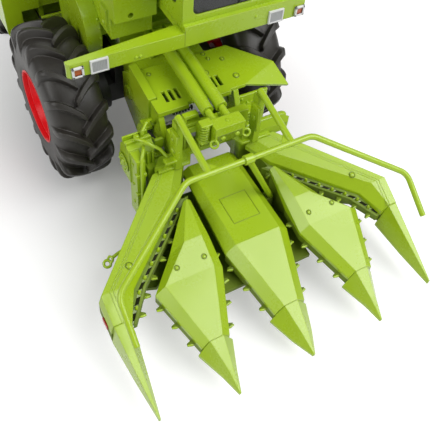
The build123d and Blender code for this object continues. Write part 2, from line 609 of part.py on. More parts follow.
# Guide bar and the arms that carry it
# columns: x, distance ahead of the header's back, z
BAR_ROUTE = [(-44.8, 47.6, 24.8), (-44.5, 37.0, 32.4), (-19.1, 21.5, 44.4)]
with BuildPart() as guide_bar:
    half = [(x, ahead(d), z) for x, d, z in BAR_ROUTE]
    with BuildLine() as path:
        FilletPolyline(*half, *[(-x, y, z) for x, y, z in reversed(half)], radius=5)
    with BuildSketch(Plane(origin=path.line @ 0, z_dir=path.line % 0)):
        Circle(BAR_R)
    sweep()
    _, bar_y, bar_z = half[-1]
    for side in (1, -1):
        rod((side * ARM_X, *ARM_BACK), (side * ARM_X, bar_y, bar_z), ARM_R)
        profile_z([(side * ARM_X, bar_y + 4.6), (side * ARM_X, bar_y), (side * (ARM_X - 3.6), bar_y)],
                  (bar_z - 0.3, bar_z + 0.5))
    fall = Vector(*STRUT_FOOT) - Vector(STRUT_X, bar_y, bar_z)
    rod((STRUT_X, bar_y, bar_z), tuple(Vector(*STRUT_FOOT) + fall * 0.1), STRUT_R)
    rod((STRUT_X - 1.3, bar_y, bar_z), (STRUT_X + 1.3, bar_y, bar_z), BAR_R + 0.5)
    foot_x, foot_y, foot_z = STRUT_FOOT
    block((foot_x - 5, foot_x + 5), (foot_y - 5, foot_y + 5), (foot_z - 8, foot_z), Mode.SUBTRACT)
keep(guide_bar.part, "guide_bar")

# Front beam and lamps
with BuildPart() as front_beam:
    right_high = BEAM_HIGH - BEAM_STEP
    for side, high in ((1, BEAM_HIGH), (-1, right_high)):
        end = side * BEAM_HALF
        profile_z([(CAB_X0, BEAM_Y), (end - side * BEAM_END, BEAM_Y), (end, BEAM_Y + BEAM_END),
                   (end, CAB_FRONT_Y), (CAB_X0, CAB_FRONT_Y)], (BEAM_LOW, high))
    profile_z([(CAB_X0, CAB_FRONT_Y), (CAB_X0, CAB_FRONT_Y + 3), (-BEAM_HALF, CAB_FRONT_Y + 0.3),
               (-BEAM_HALF, CAB_FRONT_Y)], (right_high - 1, right_high))
keep(front_beam.part, "front_beam")


def lamps(label, middles, width, height, low):
    """A pair of lamps on the beam, each a frame round a sunk lens."""
    with BuildPart() as made:
        for x in middles:
            block((x - width / 2, x + width / 2), (BEAM_Y - LAMP_T, BEAM_Y), (low, low + height))
            block((x - width / 2 + BEZEL, x + width / 2 - BEZEL),
                  (BEAM_Y - LAMP_T, BEAM_Y - LAMP_T + LENS_DEPTH),
                  (low + BEZEL, low + height - BEZEL), Mode.SUBTRACT)
    keep(made.part, label)


lamps("headlamps", LAMP_X, LAMP_W, LAMP_H, BEAM_LOW + 0.2)
lamps("turn_lamps", (-TURN_X, TURN_X), TURN_W, TURN_H, BEAM_LOW + 0.5)

# Platform and cab
with BuildPart() as platform:
    plate = (PLATFORM_TOP - PLATFORM_T, PLATFORM_TOP)
    block((CAB_X0, BEAM_HALF), (CAB_FRONT_Y, CAB_BACK_Y + 12), plate)
    block((HOOD_X + 0.8, BEAM_HALF), (CAB_BACK_Y + 12, WALK_BACK_Y), plate)
    block((-RAIL_X - RAIL_W / 2, RAIL_X + RAIL_W / 2), (TOWER_BACK_Y + 1, TOWER_BACK_Y + 6), plate)
keep(platform.part, "platform")

WINDOW_R = 2.0


def window_panel(label, plane, u, v, thickness, window, glass):
    """A cab wall with one rounded window, and the pane that fills it."""
    with BuildPart() as panel:
        with BuildSketch(plane):
            with Locations(((u[0] + u[1]) / 2, (v[0] + v[1]) / 2)):
                Rectangle(u[1] - u[0], v[1] - v[0])
            with Locations(((window[0] + window[1]) / 2, (window[2] + window[3]) / 2)):
                RectangleRounded(window[1] - window[0], window[3] - window[2], WINDOW_R, mode=Mode.SUBTRACT)
        extrude(amount=thickness)
    keep(panel.part, label)
    with BuildPart() as pane:
        with BuildSketch(plane.offset((thickness - GLASS_T) / 2)):
            with Locations(((window[0] + window[1]) / 2, (window[2] + window[3]) / 2)):
                RectangleRounded(window[1] - window[0], window[3] - window[2], WINDOW_R)
        extrude(amount=GLASS_T)
    glass.append(pane.part)


panes = []
sill = PLATFORM_TOP + 5
head = CAB_TOP - 3
front_plane = Plane(origin=(0, CAB_FRONT_Y + CAB_T, 0), x_dir=(1, 0, 0), z_dir=(0, -1, 0))
back_plane = Plane(origin=(0, CAB_BACK_Y, 0), x_dir=(1, 0, 0), z_dir=(0, -1, 0))
window_panel("cab_front", front_plane, (CAB_X0, CAB_X1), (PLATFORM_TOP, CAB_TOP), CAB_T,
             (CAB_X0 + 3, CAB_X1 - 3, sill - 1.5, head), panes)
window_panel("cab_back", back_plane, (CAB_X0, CAB_X1), (PLATFORM_TOP, CAB_TOP), CAB_T,
             (CAB_X0 + 4, CAB_X1 - 4, sill + 14, head), panes)
inside = (CAB_FRONT_Y + CAB_T, CAB_BACK_Y - CAB_T)
for name, x in (("cab_side_right", CAB_X0), ("cab_door_left", CAB_X1 - CAB_T)):
    window_panel(name, Plane.YZ.offset(x), inside, (PLATFORM_TOP, CAB_TOP), CAB_T,
                 (inside[0] + 2.5, inside[1] - 2.5, sill, head), panes)
glass = Compound(children=panes)
keep(glass, "cab_glass")

with BuildPart() as cab_roof:
    with BuildSketch(Plane.XY.offset(CAB_TOP)):
        with Locations(((CAB_X0 + CAB_X1) / 2, (CAB_FRONT_Y + CAB_BACK_Y) / 2)):
            RectangleRounded(CAB_X1 - CAB_X0 + 2 * ROOF_LIP, CAB_BACK_Y - CAB_FRONT_Y + 2 * ROOF_LIP, 3)
    extrude(amount=ROOF_H, taper=12)
keep(cab_roof.part, "cab_roof")

SEAT_X = (CAB_X0 + CAB_X1) / 2
with BuildPart() as driver_seat:
    block((SEAT_X - 6, SEAT_X + 6), (-7, 4.5), (PLATFORM_TOP, PLATFORM_TOP + 9))
    block((SEAT_X - 7, SEAT_X + 7), (-10, 5.5), (PLATFORM_TOP + 9, PLATFORM_TOP + 13))
    block((SEAT_X - 7, SEAT_X + 7), (2, 5.5), (PLATFORM_TOP + 13, PLATFORM_TOP + 30))
keep(driver_seat.part, "driver_seat")

with BuildPart() as steering_column:
    foot, top = (SEAT_X, -21, PLATFORM_TOP - 1), (SEAT_X, -16.5, PLATFORM_TOP + 17)
    rod(foot, top, 1.5)
    block((SEAT_X - 5, SEAT_X + 5), (-25, -15), (PLATFORM_TOP - 5, PLATFORM_TOP), Mode.SUBTRACT)
    lean = Plane(origin=top, z_dir=Vector(*top) - Vector(*foot))
    with BuildSketch(lean):
        Circle(5.6)
        Circle(4.6, mode=Mode.SUBTRACT)
        Rectangle(10.4, 1.2)
    extrude(amount=1.0)
keep(steering_column.part, "steering_column")

# Crop tower, turret and spout
with BuildPart() as crop_tower:
    block((TOWER_X0, TOWER_X1), (TOWER_FRONT_Y, TOWER_BACK_Y), (TOWER_STEPS[2], TOWER_TOP))
    block((TOWER_X0, TOWER_X1), (TOWER_FRONT_Y + 3, TOWER_BACK_Y), TOWER_STEPS[1:])
    block((TOWER_X0, TOWER_X1), (-2, TOWER_BACK_Y), TOWER_STEPS[:2])
    block((-DRUM_HALF_W, DRUM_HALF_W), (-2, TOWER_BACK_Y), (RAIL_Z1, TOWER_STEPS[0]))
    block((TOWER_X0 - 0.8, TOWER_X0 + 1.6), (TOWER_FRONT_Y + 4, TOWER_FRONT_Y + 8),
          (TOWER_STEPS[1] + 2, TOWER_STEPS[2] + 2))
    rod((TURRET_X, TURRET_Y, TOWER_TOP), (TURRET_X, TURRET_Y, TOWER_TOP + 4), TURRET_R + 1.2)
    rod((TURRET_X, TURRET_Y, TOWER_TOP), (TURRET_X, TURRET_Y, TOWER_TOP + 7), TURRET_R - 1.6)
    hole_x, hole_z = TOWER_X0 + 4.8, TOWER_STEPS[2] + 1.6
    rod((hole_x, TOWER_FRONT_Y, hole_z), (hole_x, TOWER_FRONT_Y + 2, hole_z), 0.8, Mode.SUBTRACT)
keep(crop_tower.part, "crop_tower")

with BuildPart() as drive_guard:
    rod((GUARD_X0, *GUARD_AXIS), (TOWER_X0, *GUARD_AXIS), GUARD_R)
keep(drive_guard.part, "drive_guard")

NECK_Z = TOWER_TOP + 4 + GAP
with BuildPart() as spout:
    base = (TURRET_X, TURRET_Y, NECK_Z)
    with BuildLine(Plane(origin=base, x_dir=(0, 1, 0), z_dir=(1, 0, 0))) as path:
        neck = Line((0, 0), (0, SPOUT_RISE))
        bend = JernArc(neck @ 1, neck % 1, SPOUT_BEND_R, -84)
        top = Line(bend @ 1, bend @ 1 + (bend % 1) * SPOUT_RUN)
        drop = JernArc(top @ 1, top % 1, SPOUT_DROP_R, -SPOUT_DROP)
    with BuildSketch(Plane(origin=base, x_dir=(1, 0, 0), z_dir=(0, 0, 1))):
        Rectangle(SPOUT_W, SPOUT_H)
    sweep()
    rod(base, (TURRET_X, TURRET_Y, NECK_Z + 3.6), TURRET_R)
    rod((TURRET_X, TURRET_Y, NECK_Z), (TURRET_X, TURRET_Y, NECK_Z + 3.3), TURRET_R - 1.6 + RUN, Mode.SUBTRACT)
    spout_end, spout_dir = path.line @ 1, path.line % 1
    upward = Vector(1, 0, 0).cross(spout_dir)
    hinge = spout_end + spout_dir * 1.6 + upward * (SPOUT_H / 2 - 0.9)
    ear = Plane(origin=hinge, x_dir=spout_dir, z_dir=(1, 0, 0))
    for side in (1, -1):
        with BuildSketch(ear.offset(side * 2.6)) as cheek:
            Circle(0.9)
            with Locations((-1.0, 0)):
                Rectangle(2.0, 1.8)
        extrude(cheek.sketch, amount=side * 1.1)
    rod(tuple(hinge - Vector(4, 0, 0)), tuple(hinge + Vector(4, 0, 0)), HINGE_R)
keep(spout.part, "spout")

with BuildPart() as spout_flap:
    rod(tuple(hinge - Vector(2.3, 0, 0)), tuple(hinge + Vector(2.3, 0, 0)), 1.1)
    leaf = Plane(origin=hinge + upward * (0.9 - FLAP_T), x_dir=(1, 0, 0), z_dir=upward)
    with BuildSketch(leaf) as outline:
        with Locations((0, 0.8)):
            Rectangle(4.6, 1.6)
        with Locations((0, 1.4 + FLAP_LENGTH / 2)):
            Rectangle(SPOUT_W, FLAP_LENGTH)
    extrude(outline.sketch, amount=FLAP_T)
    rod(tuple(hinge - Vector(9, 0, 0)), tuple(hinge + Vector(9, 0, 0)), HINGE_R + RUN, Mode.SUBTRACT)
keep(spout_flap.part, "spout_flap")

# Engine hood and its fittings
with BuildPart() as engine_hood:
    block((-HOOD_X, HOOD_X), (HOOD_Y0, RAIL_BACK_Y), (RAIL_Z1, HOOD_Z1))
    chamfer(engine_hood.edges().group_by(Axis.Z)[-1], length=5)
    block((HOOD_WALL - HOOD_X, HOOD_X - HOOD_WALL), (HOOD_Y0 + HOOD_WALL, RAIL_BACK_Y - HOOD_WALL),
          (RAIL_Z1, HOOD_Z1 - 6), Mode.SUBTRACT)
    block((-HOOD_X, 10 - HOOD_X), (HOOD_Y0, HOOD_Y0 + HOOD_WALL), (RAIL_Z1, TANK_Z[1]), Mode.SUBTRACT)
    for k in range(LOUVRES):
        z = 46 + k * LOUVRE_PITCH
        block((-HOOD_X, HOOD_WALL - HOOD_X), (TANK_Y1 + 6, RAIL_BACK_Y - 8), (z, z + LOUVRE_H), Mode.SUBTRACT)
        block((-14, 14), (RAIL_BACK_Y - HOOD_WALL, RAIL_BACK_Y), (z, z + LOUVRE_H), Mode.SUBTRACT)
keep(engine_hood.part, "engine_hood")

with BuildPart() as radiator_screen:
    rod((HOOD_X, RAIL_BACK_Y - SCREEN_INSET, 54), (HOOD_X + 1.6, RAIL_BACK_Y - SCREEN_INSET, 54), SCREEN_R)
keep(radiator_screen.part, "radiator_screen")

with BuildPart() as fuel_tank:
    foot, under, top = TANK_Z
    block((TANK_X1, -HOOD_X), (TANK_Y0, TANK_Y1), (under, top))
    block((TANK_X1, TANK_X1 + TANK_LEG), (TANK_Y0, TANK_Y1), (foot, under))
    for z, radius in ((foot, 5), (top, 3)):
        edge = fuel_tank.edges().filter_by(Axis.Y).filter_by(
            lambda e: abs(e.center().X - TANK_X1) < 0.01 and abs(e.center().Z - z) < 0.01)
        fillet(edge, radius=radius)
keep(fuel_tank.part, "fuel_tank")

with BuildPart() as exhaust:
    rod((14, RAIL_BACK_Y - EXHAUST_INSET, HOOD_Z1), (14, RAIL_BACK_Y - EXHAUST_INSET, HOOD_Z1 + 20), 2.0)
keep(exhaust.part, "exhaust")

with BuildPart() as ladder:
    for y in LADDER_Y:
        block((BEAM_HALF - 1.2, BEAM_HALF), (y - 0.6, y + 0.6), (LADDER_Z0, PLATFORM_TOP - PLATFORM_T))
    for step in range(4):
        z = LADDER_Z0 + 1 + 10 * step
        block((BEAM_HALF - 4, BEAM_HALF), LADDER_Y, (z, z + 1))
keep(ladder.part, "ladder")

with BuildPart() as rear_lamps:
    for side in (1, -1):
        block((side * 20 - 2.5, side * 20 + 2.5), (RAIL_BACK_Y, RAIL_BACK_Y + 0.8), (42, 46))
keep(rear_lamps.part, "rear_lamps")
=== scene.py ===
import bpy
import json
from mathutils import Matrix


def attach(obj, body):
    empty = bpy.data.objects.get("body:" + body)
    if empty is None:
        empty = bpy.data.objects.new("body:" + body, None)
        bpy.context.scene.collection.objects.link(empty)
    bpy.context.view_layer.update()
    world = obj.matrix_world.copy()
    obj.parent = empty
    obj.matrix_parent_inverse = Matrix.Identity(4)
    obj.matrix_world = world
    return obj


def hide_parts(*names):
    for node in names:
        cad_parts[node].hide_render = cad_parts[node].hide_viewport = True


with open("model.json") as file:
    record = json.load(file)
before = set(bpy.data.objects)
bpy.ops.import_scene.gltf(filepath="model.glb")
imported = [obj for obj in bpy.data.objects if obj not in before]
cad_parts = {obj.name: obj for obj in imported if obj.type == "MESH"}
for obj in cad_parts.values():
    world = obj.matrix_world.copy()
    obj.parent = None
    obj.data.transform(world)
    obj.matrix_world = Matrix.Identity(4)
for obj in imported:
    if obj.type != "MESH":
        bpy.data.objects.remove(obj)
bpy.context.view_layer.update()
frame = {"nodes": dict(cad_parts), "record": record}

import json
from math import cos, pi, radians, sin

import bmesh
import bpy
from mathutils import Matrix, Vector

mm = 0.001
hands = ((1, "Left"), (-1, "Right"))


# node helpers
def addNode(tree, kind, **settings):
    made = tree.nodes.new(kind)
    for name, value in settings.items():
        setattr(made, name, value)
    return made


def link(tree, source, target):     # links a socket, or sets a number or a colour
    if isinstance(source, bpy.types.NodeSocket):
        tree.links.new(source, target)
    else:
        target.default_value = source


def setInputs(node, values):
    for name, value in values.items():
        node.inputs[name].default_value = value


def mixColour(tree, factor, first, second):
    mix = addNode(tree, "ShaderNodeMix", data_type="RGBA")
    for index, value in ((0, factor), (6, first), (7, second)):
        link(tree, value, mix.inputs[index])
    return mix.outputs[2]


def sums(tree, operation, first, second=0.5, clamp=False):
    node = addNode(tree, "ShaderNodeMath", operation=operation, use_clamp=clamp)
    link(tree, first, node.inputs[0])
    link(tree, second, node.inputs[1])
    return node.outputs[0]


def remap(tree, value, low, high, newLow=0.0, newHigh=1.0):
    node = addNode(tree, "ShaderNodeMapRange")
    for index, given in enumerate((value, low, high, newLow, newHigh)):
        link(tree, given, node.inputs[index])
    return node.outputs[0]


def noise(tree, place, scale, detail, rough=0.55):
    node = addNode(tree, "ShaderNodeTexNoise")
    for name, value in (("Vector", place), ("Scale", scale), ("Detail", detail), ("Roughness", rough)):
        link(tree, value, node.inputs[name])
    return node.outputs["Fac"]


def objectPlace(tree):
    return addNode(tree, "ShaderNodeTexCoord").outputs["Object"]


def surfaceNormal(tree):
    return addNode(tree, "ShaderNodeNewGeometry").outputs["Normal"]


def splitAxes(tree, vector):
    node = addNode(tree, "ShaderNodeSeparateXYZ")
    link(tree, vector, node.inputs[0])
    return node.outputs


def addBump(tree, height, strength, distance):      # distance in millimetres
    bump = addNode(tree, "ShaderNodeBump")
    setInputs(bump, {"Strength": strength, "Distance": distance * mm})
    link(tree, height, bump.inputs["Height"])
    return bump


def newGroup(name, inputs, outputs):
    tree = bpy.data.node_groups.new(name, "ShaderNodeTree")
    for label, kind, value in inputs:
        socket = tree.interface.new_socket(label, in_out="INPUT", socket_type=kind)
        socket.default_value = value
    for label, kind in outputs:
        tree.interface.new_socket(label, in_out="OUTPUT", socket_type=kind)
    return tree, tree.nodes.new("NodeGroupInput"), tree.nodes.new("NodeGroupOutput")


def newMaterial(name):
    material = bpy.data.materials.new(name)
    material.use_nodes = True
    return material, material.node_tree, material.node_tree.nodes["Principled BSDF"]


number, colour = "NodeSocketFloat", "NodeSocketColor"

# ranges are those of remap; lengths in millimetres
skinLook = {"broadScale": 45.0, "broadDetail": 4.0, "fineDetail": 2.0, "rounding": 0.35,
            "edge": (0.995, 0.80), "edgePatch": (0.3, 0.6, 0.4, 1.0), "drift": (0.35, 0.7),
            "speck": (0.3, 0.7, -0.02, 0.02), "smear": (0.3, 0.7, -0.06, 0.08)}


def makeFinishGroup():      # moulded or sprayed skin: tone drift, fine orange peel and thin pale edges, partly rubbed wear and partly a painted highlight
    tree, given, out = newGroup(
        "mouldedFinish",
        [("Tone", colour, (0.5, 0.5, 0.5, 1)), ("Deep Tone", colour, (0.3, 0.3, 0.3, 1)),
         ("Edge Wear And Highlight Tone", colour, (0.8, 0.8, 0.8, 1)), ("Drift", number, 0.3), ("Edge", number, 0.4),
         ("Roughness", number, 0.35), ("Grain Scale", number, 900.0)],
        [("Colour", colour), ("Roughness", number), ("Height", number), ("Rounded", "NodeSocketVector")])
    wanted, place = given.outputs, objectPlace(tree)
    broad = noise(tree, place, skinLook["broadScale"], skinLook["broadDetail"])
    fine = noise(tree, place, wanted["Grain Scale"], skinLook["fineDetail"])
    rounded = addNode(tree, "ShaderNodeBevel", samples=4)
    setInputs(rounded, {"Radius": skinLook["rounding"] * mm})
    facing = addNode(tree, "ShaderNodeVectorMath", operation="DOT_PRODUCT")
    link(tree, rounded.outputs[0], facing.inputs[0])
    link(tree, surfaceNormal(tree), facing.inputs[1])
    # the pale edge tone is partly wear and partly a painted highlight where the rounded edges catch the
    # light
    edge = sums(tree, "MULTIPLY", remap(tree, facing.outputs["Value"], *skinLook["edge"]), wanted["Edge"])
    edgeWearAndHighlightMask = sums(tree, "MULTIPLY", edge, remap(tree, broad, *skinLook["edgePatch"]), True)
    drift = sums(tree, "MULTIPLY", remap(tree, broad, *skinLook["drift"]), wanted["Drift"], True)
    toned = mixColour(tree, drift, wanted["Tone"], wanted["Deep Tone"])
    link(tree, mixColour(tree, edgeWearAndHighlightMask, toned, wanted["Edge Wear And Highlight Tone"]), out.inputs["Colour"])
    uneven = sums(tree, "ADD", remap(tree, fine, *skinLook["speck"]), remap(tree, broad, *skinLook["smear"]))
    link(tree, sums(tree, "ADD", wanted["Roughness"], uneven, True), out.inputs["Roughness"])
    link(tree, fine, out.inputs["Height"])
    link(tree, rounded.outputs[0], out.inputs["Rounded"])
    return tree


dustLook = {"upward": (0.2, 1.0), "patch": (0.42, 0.75), "scale": 120.0, "detail": 5.0, "rough": 0.65,
            "tone": (0.42, 0.40, 0.34, 1)}


def makeDustGroup():        # pale dust that settles on upward faces and in the high places of a noise
    tree, given, out = newGroup("dustFilm", [("Tone", colour, (0.5, 0.5, 0.5, 1)), ("Amount", number, 0.2)],
                                [("Colour", colour), ("Mask", number)])
    upward = remap(tree, splitAxes(tree, surfaceNormal(tree))["Z"], *dustLook["upward"])
    spots = noise(tree, objectPlace(tree), dustLook["scale"], dustLook["detail"], dustLook["rough"])
    settled = sums(tree, "MULTIPLY", upward, remap(tree, spots, *dustLook["patch"]))
    mask = sums(tree, "MULTIPLY", settled, given.outputs["Amount"], True)
    link(tree, mixColour(tree, mask, given.outputs["Tone"], dustLook["tone"]), out.inputs["Colour"])
    link(tree, mask, out.inputs["Mask"])
    return tree


def makeHeightGroup():      # 0 below and 1 over a height of the model, with a soft change between; it parts painted shade below from the plain tone over it
    tree, given, out = newGroup("heightMask", [("Low", number, 0.02), ("High", number, 0.03)],
                                [("Mask", number)])
    height = splitAxes(tree, objectPlace(tree))["Z"]
    link(tree, remap(tree, height, given.outputs["Low"], given.outputs["High"]), out.inputs["Mask"])
    return tree


finishGroup = makeFinishGroup()
dustGroup = makeDustGroup()
peelDepth, coatRough = 0.2, 0.2

# a change of tone with height, as painted shade: below it the finish keeps its dark tone for the shade in
# the header's low gaps, over it the upper green; where it starts, where it ends and the upper tone
finishes = {
    "body_green": {"tone": (0.335, 0.490, 0.010), "deep": (0.285, 0.430, 0.006), "edge": (0.46, 0.62, 0.06),
                   "rough": 0.27, "drift": 0.35, "edgeWearAndHighlight": 0.55, "grain": 1400, "bump": 0.004,
                   "dust": 0.015, "coat": 0.2, "specular": 0.5},
    # header_dark: its dark green is painted shade for the header's low parts and gaps, whose own colour is
    # the body's green
    "header_dark": {"tone": (0.15, 0.225, 0.006), "deep": (0.09, 0.14, 0.004), "edge": (0.22, 0.31, 0.03),
                    "rough": 0.6, "drift": 0.5, "edgeWearAndHighlight": 0.3, "grain": 1200, "bump": 0.06,
                    "dust": 0.03, "coat": 0.0, "specular": 0.4,
                    "above": (0.0235, 0.0255, (0.320, 0.470, 0.010))},
    "frame_black": {"tone": (0.022, 0.022, 0.022), "deep": (0.012, 0.012, 0.012), "edge": (0.07, 0.07, 0.07),
                    "rough": 0.5, "drift": 0.5, "edgeWearAndHighlight": 0.35, "grain": 1200, "bump": 0.06,
                    "dust": 0.06, "coat": 0.0, "specular": 0.4},
    "rim_red": {"tone": (0.82, 0.008, 0.013), "deep": (0.68, 0.005, 0.009), "edge": (0.90, 0.22, 0.20),
                "rough": 0.3, "drift": 0.4, "edgeWearAndHighlight": 0.6, "grain": 1400, "bump": 0.03,
                "dust": 0.0, "coat": 0.0, "specular": 0.18},
    "tyre": {"tone": (0.025, 0.022, 0.0175), "deep": (0.015, 0.0135, 0.011), "edge": (0.065, 0.059, 0.050),
             "rough": 0.42, "drift": 0.6, "edgeWearAndHighlight": 0.5, "grain": 2200, "bump": 0.10,
             "dust": 0.05, "coat": 0.0, "specular": 0.45},
    "steel": {"tone": (0.55, 0.55, 0.56), "deep": (0.42, 0.42, 0.43), "edge": (0.75, 0.75, 0.75),
              "rough": 0.32, "drift": 0.4, "edgeWearAndHighlight": 0.4, "grain": 1600, "bump": 0.04,
              "dust": 0.03, "coat": 0.0, "specular": 0.5, "metal": 1.0},
    "roof_white": {"tone": (0.70, 0.69, 0.64), "deep": (0.62, 0.61, 0.56), "edge": (0.78, 0.77, 0.72),
                   "rough": 0.4, "drift": 0.35, "edgeWearAndHighlight": 0.3, "grain": 1400, "bump": 0.03,
                   "dust": 0.06, "coat": 0.15, "specular": 0.5},
    "seat_black": {"tone": (0.035, 0.035, 0.038), "deep": (0.02, 0.02, 0.022), "edge": (0.08, 0.08, 0.085),
                   "rough": 0.6, "drift": 0.4, "edgeWearAndHighlight": 0.3, "grain": 1800, "bump": 0.12,
                   "dust": 0.05, "coat": 0.0, "specular": 0.4},
    "lamp_lens": {"tone": (0.70, 0.70, 0.71), "deep": (0.60, 0.60, 0.61), "edge": (0.8, 0.8, 0.8),
                  "rough": 0.3, "drift": 0.4, "edgeWearAndHighlight": 0.3, "grain": 2400, "bump": 0.08,
                  "dust": 0.0, "coat": 0.4, "specular": 0.5},
    "lamp_amber": {"tone": (0.46, 0.085, 0.015), "deep": (0.30, 0.05, 0.01), "edge": (0.9, 0.4, 0.1),
                   "rough": 0.25, "drift": 0.5, "edgeWearAndHighlight": 0.4, "grain": 2400, "bump": 0.05,
                   "dust": 0.0, "coat": 0.4, "specular": 0.5},
    "lamp_red": {"tone": (0.5, 0.02, 0.015), "deep": (0.35, 0.01, 0.01), "edge": (0.8, 0.15, 0.1),
                 "rough": 0.25, "drift": 0.5, "edgeWearAndHighlight": 0.4, "grain": 2400, "bump": 0.05,
                 "dust": 0.0, "coat": 0.4, "specular": 0.5},
}
# a darker green: the colour of real seam lines and screw seats, and painted shade where it is laid on the
# chain beds, the channel's lower plate and the arch liners
finishes["seamAndShade"] = dict(finishes["body_green"], tone=(0.16, 0.24, 0.005), deep=(0.12, 0.18, 0.004),
                        edgeWearAndHighlight=0.1)
# near-black patches of painted shade for the pockets in the chain beds
finishes["pocketShade"] = dict(finishes["frame_black"], tone=(0.014, 0.018, 0.004), rough=0.9, specular=0.08)


def makeFinish(name, look):
    material, tree, shader = newMaterial(name)
    skin = addNode(tree, "ShaderNodeGroup", node_tree=finishGroup)
    setInputs(skin, {"Tone": (*look["tone"], 1), "Deep Tone": (*look["deep"], 1),
                     "Edge Wear And Highlight Tone": (*look["edge"], 1), "Drift": look["drift"], "Edge": look["edgeWearAndHighlight"],
                     "Roughness": look["rough"], "Grain Scale": look["grain"]})
    dust = addNode(tree, "ShaderNodeGroup", node_tree=dustGroup)
    setInputs(dust, {"Amount": look["dust"]})
    link(tree, skin.outputs["Colour"], dust.inputs["Tone"])
    painted = dust.outputs["Colour"]
    # painted shade: below the given height the dark tone stays, over it the upper green
    if "above" in look:
        low, high, upper = look["above"]
        rise = addNode(tree, "ShaderNodeGroup", node_tree=makeHeightGroup())
        setInputs(rise, {"Low": low, "High": high})
        painted = mixColour(tree, rise.outputs["Mask"], painted, (*upper, 1))
    link(tree, painted, shader.inputs["Base Color"])
    link(tree, skin.outputs["Roughness"], shader.inputs["Roughness"])
    bump = addBump(tree, skin.outputs["Height"], look["bump"], peelDepth)
    link(tree, skin.outputs["Rounded"], bump.inputs["Normal"])
    link(tree, bump.outputs[0], shader.inputs["Normal"])
    setInputs(shader, {"Metallic": look.get("metal", 0.0), "Coat Weight": look["coat"],
                       "Coat Roughness": coatRough, "Specular IOR Level": look["specular"]})
    return material


glassLook = {"scale": 60.0, "detail": 4.0, "smear": (0.3, 0.7),
             "clear": (0.035, 0.036, 0.040, 1), "smeared": (0.055, 0.056, 0.060, 1),
             "rough": (0.05, 0.14), "through": 0.55, "index": 1.45}


def makeGlass():            # smoked clear plastic with faint smears
    material, tree, shader = newMaterial("tintedGlass")
    film = noise(tree, objectPlace(tree), glassLook["scale"], glassLook["detail"])
    smear = remap(tree, film, *glassLook["smear"])
    link(tree, mixColour(tree, smear, glassLook["clear"], glassLook["smeared"]), shader.inputs["Base Color"])
    link(tree, remap(tree, film, *glassLook["smear"], *glassLook["rough"]), shader.inputs["Roughness"])
    setInputs(shader, {"Transmission Weight": glassLook["through"], "IOR": glassLook["index"]})
    return material


# the lens's groove tone is painted shade and its crest tone a painted highlight
lensLook = {"pitch": 0.42, "ribs": (-0.2, 1.0), "grooveShade": (0.23, 0.23, 0.24, 1),
            "crestHighlight": (0.40, 0.41, 0.42, 1), "rough": (0.4, 0.2), "bump": 0.3, "depth": 0.1}


def makeHatchGroup():       # fine crossed ribs, as pressed into a lamp's lens; the pitch is in millimetres
    tree, given, out = newGroup("hatchRibs", [("Pitch", number, 0.3)], [("Mask", number)])
    axes = splitAxes(tree, objectPlace(tree))
    turns = sums(tree, "DIVIDE", 2 * pi / mm, given.outputs["Pitch"])
    waves = [sums(tree, "SINE", sums(tree, "MULTIPLY", axes[axis], turns)) for axis in ("X", "Z")]
    link(tree, remap(tree, sums(tree, "MAXIMUM", *waves), *lensLook["ribs"]), out.inputs["Mask"])
    return tree


def makeLens():             # grey ribbed lens, with painted shade in the grooves and a painted highlight on the crests
    material, tree, shader = newMaterial("lensGlass")
    ribs = addNode(tree, "ShaderNodeGroup", node_tree=makeHatchGroup())
    setInputs(ribs, {"Pitch": lensLook["pitch"]})
    mask = ribs.outputs["Mask"]
    link(tree, mixColour(tree, mask, lensLook["grooveShade"], lensLook["crestHighlight"]), shader.inputs["Base Color"])
    link(tree, remap(tree, mask, 0.0, 1.0, *lensLook["rough"]), shader.inputs["Roughness"])
    bump = addBump(tree, mask, lensLook["bump"], lensLook["depth"])
    link(tree, bump.outputs[0], shader.inputs["Normal"])
    return material


materials = {slot: makeFinish(slot, look) for slot, look in finishes.items()}
materials["tinted_glass"] = makeGlass()
materials["lensGlass"] = makeLens()
for part in frame["record"]["subparts"]:
    node = frame["nodes"][part["node"]]
    for index in range(len(node.material_slots)):
        node.material_slots[index].material = materials[part["material_slot"]]


# shapes: each is a list of points in millimetres and a list of faces, which addPiece turns outward
def join(*shapes):
    points, faces = [], []
    for some, loops in shapes:
        faces += [[index + len(points) for index in loop] for loop in loops]
        points += some
    return points, faces


def onCircle(radius, share):        # a point on a circle, by its share of a turn
    return radius * cos(2 * pi * share), radius * sin(2 * pi * share)


# faces between rows of points; closed joins the last row to the first, and ring joins each row's ends
def bandFaces(rows, wide, closed=False, ring=True):
    faces = []
    for i in range(rows if closed else rows - 1):
        here, ahead = i * wide, (i + 1) % rows * wide
        faces += [(here + k, here + (k + 1) % wide, ahead + (k + 1) % wide, ahead + k)
                  for k in range(wide if ring else wide - 1)]
    return faces


def endFaces(rows, wide):
    return [tuple(range(wide)), tuple(range((rows - 1) * wide, rows * wide))]


def boxShape(low, high):
    points = [(x, y, z) for x in (low[0], high[0]) for y in (low[1], high[1]) for z in (low[2], high[2])]
    return points, [(0, 1, 3, 2), (4, 6, 7, 5), (0, 4, 5, 1), (2, 3, 7, 6), (0, 2, 6, 4), (1, 5, 7, 3)]


def boxShapes(rows):
    return join(*[boxShape(*corners) for corners in rows])


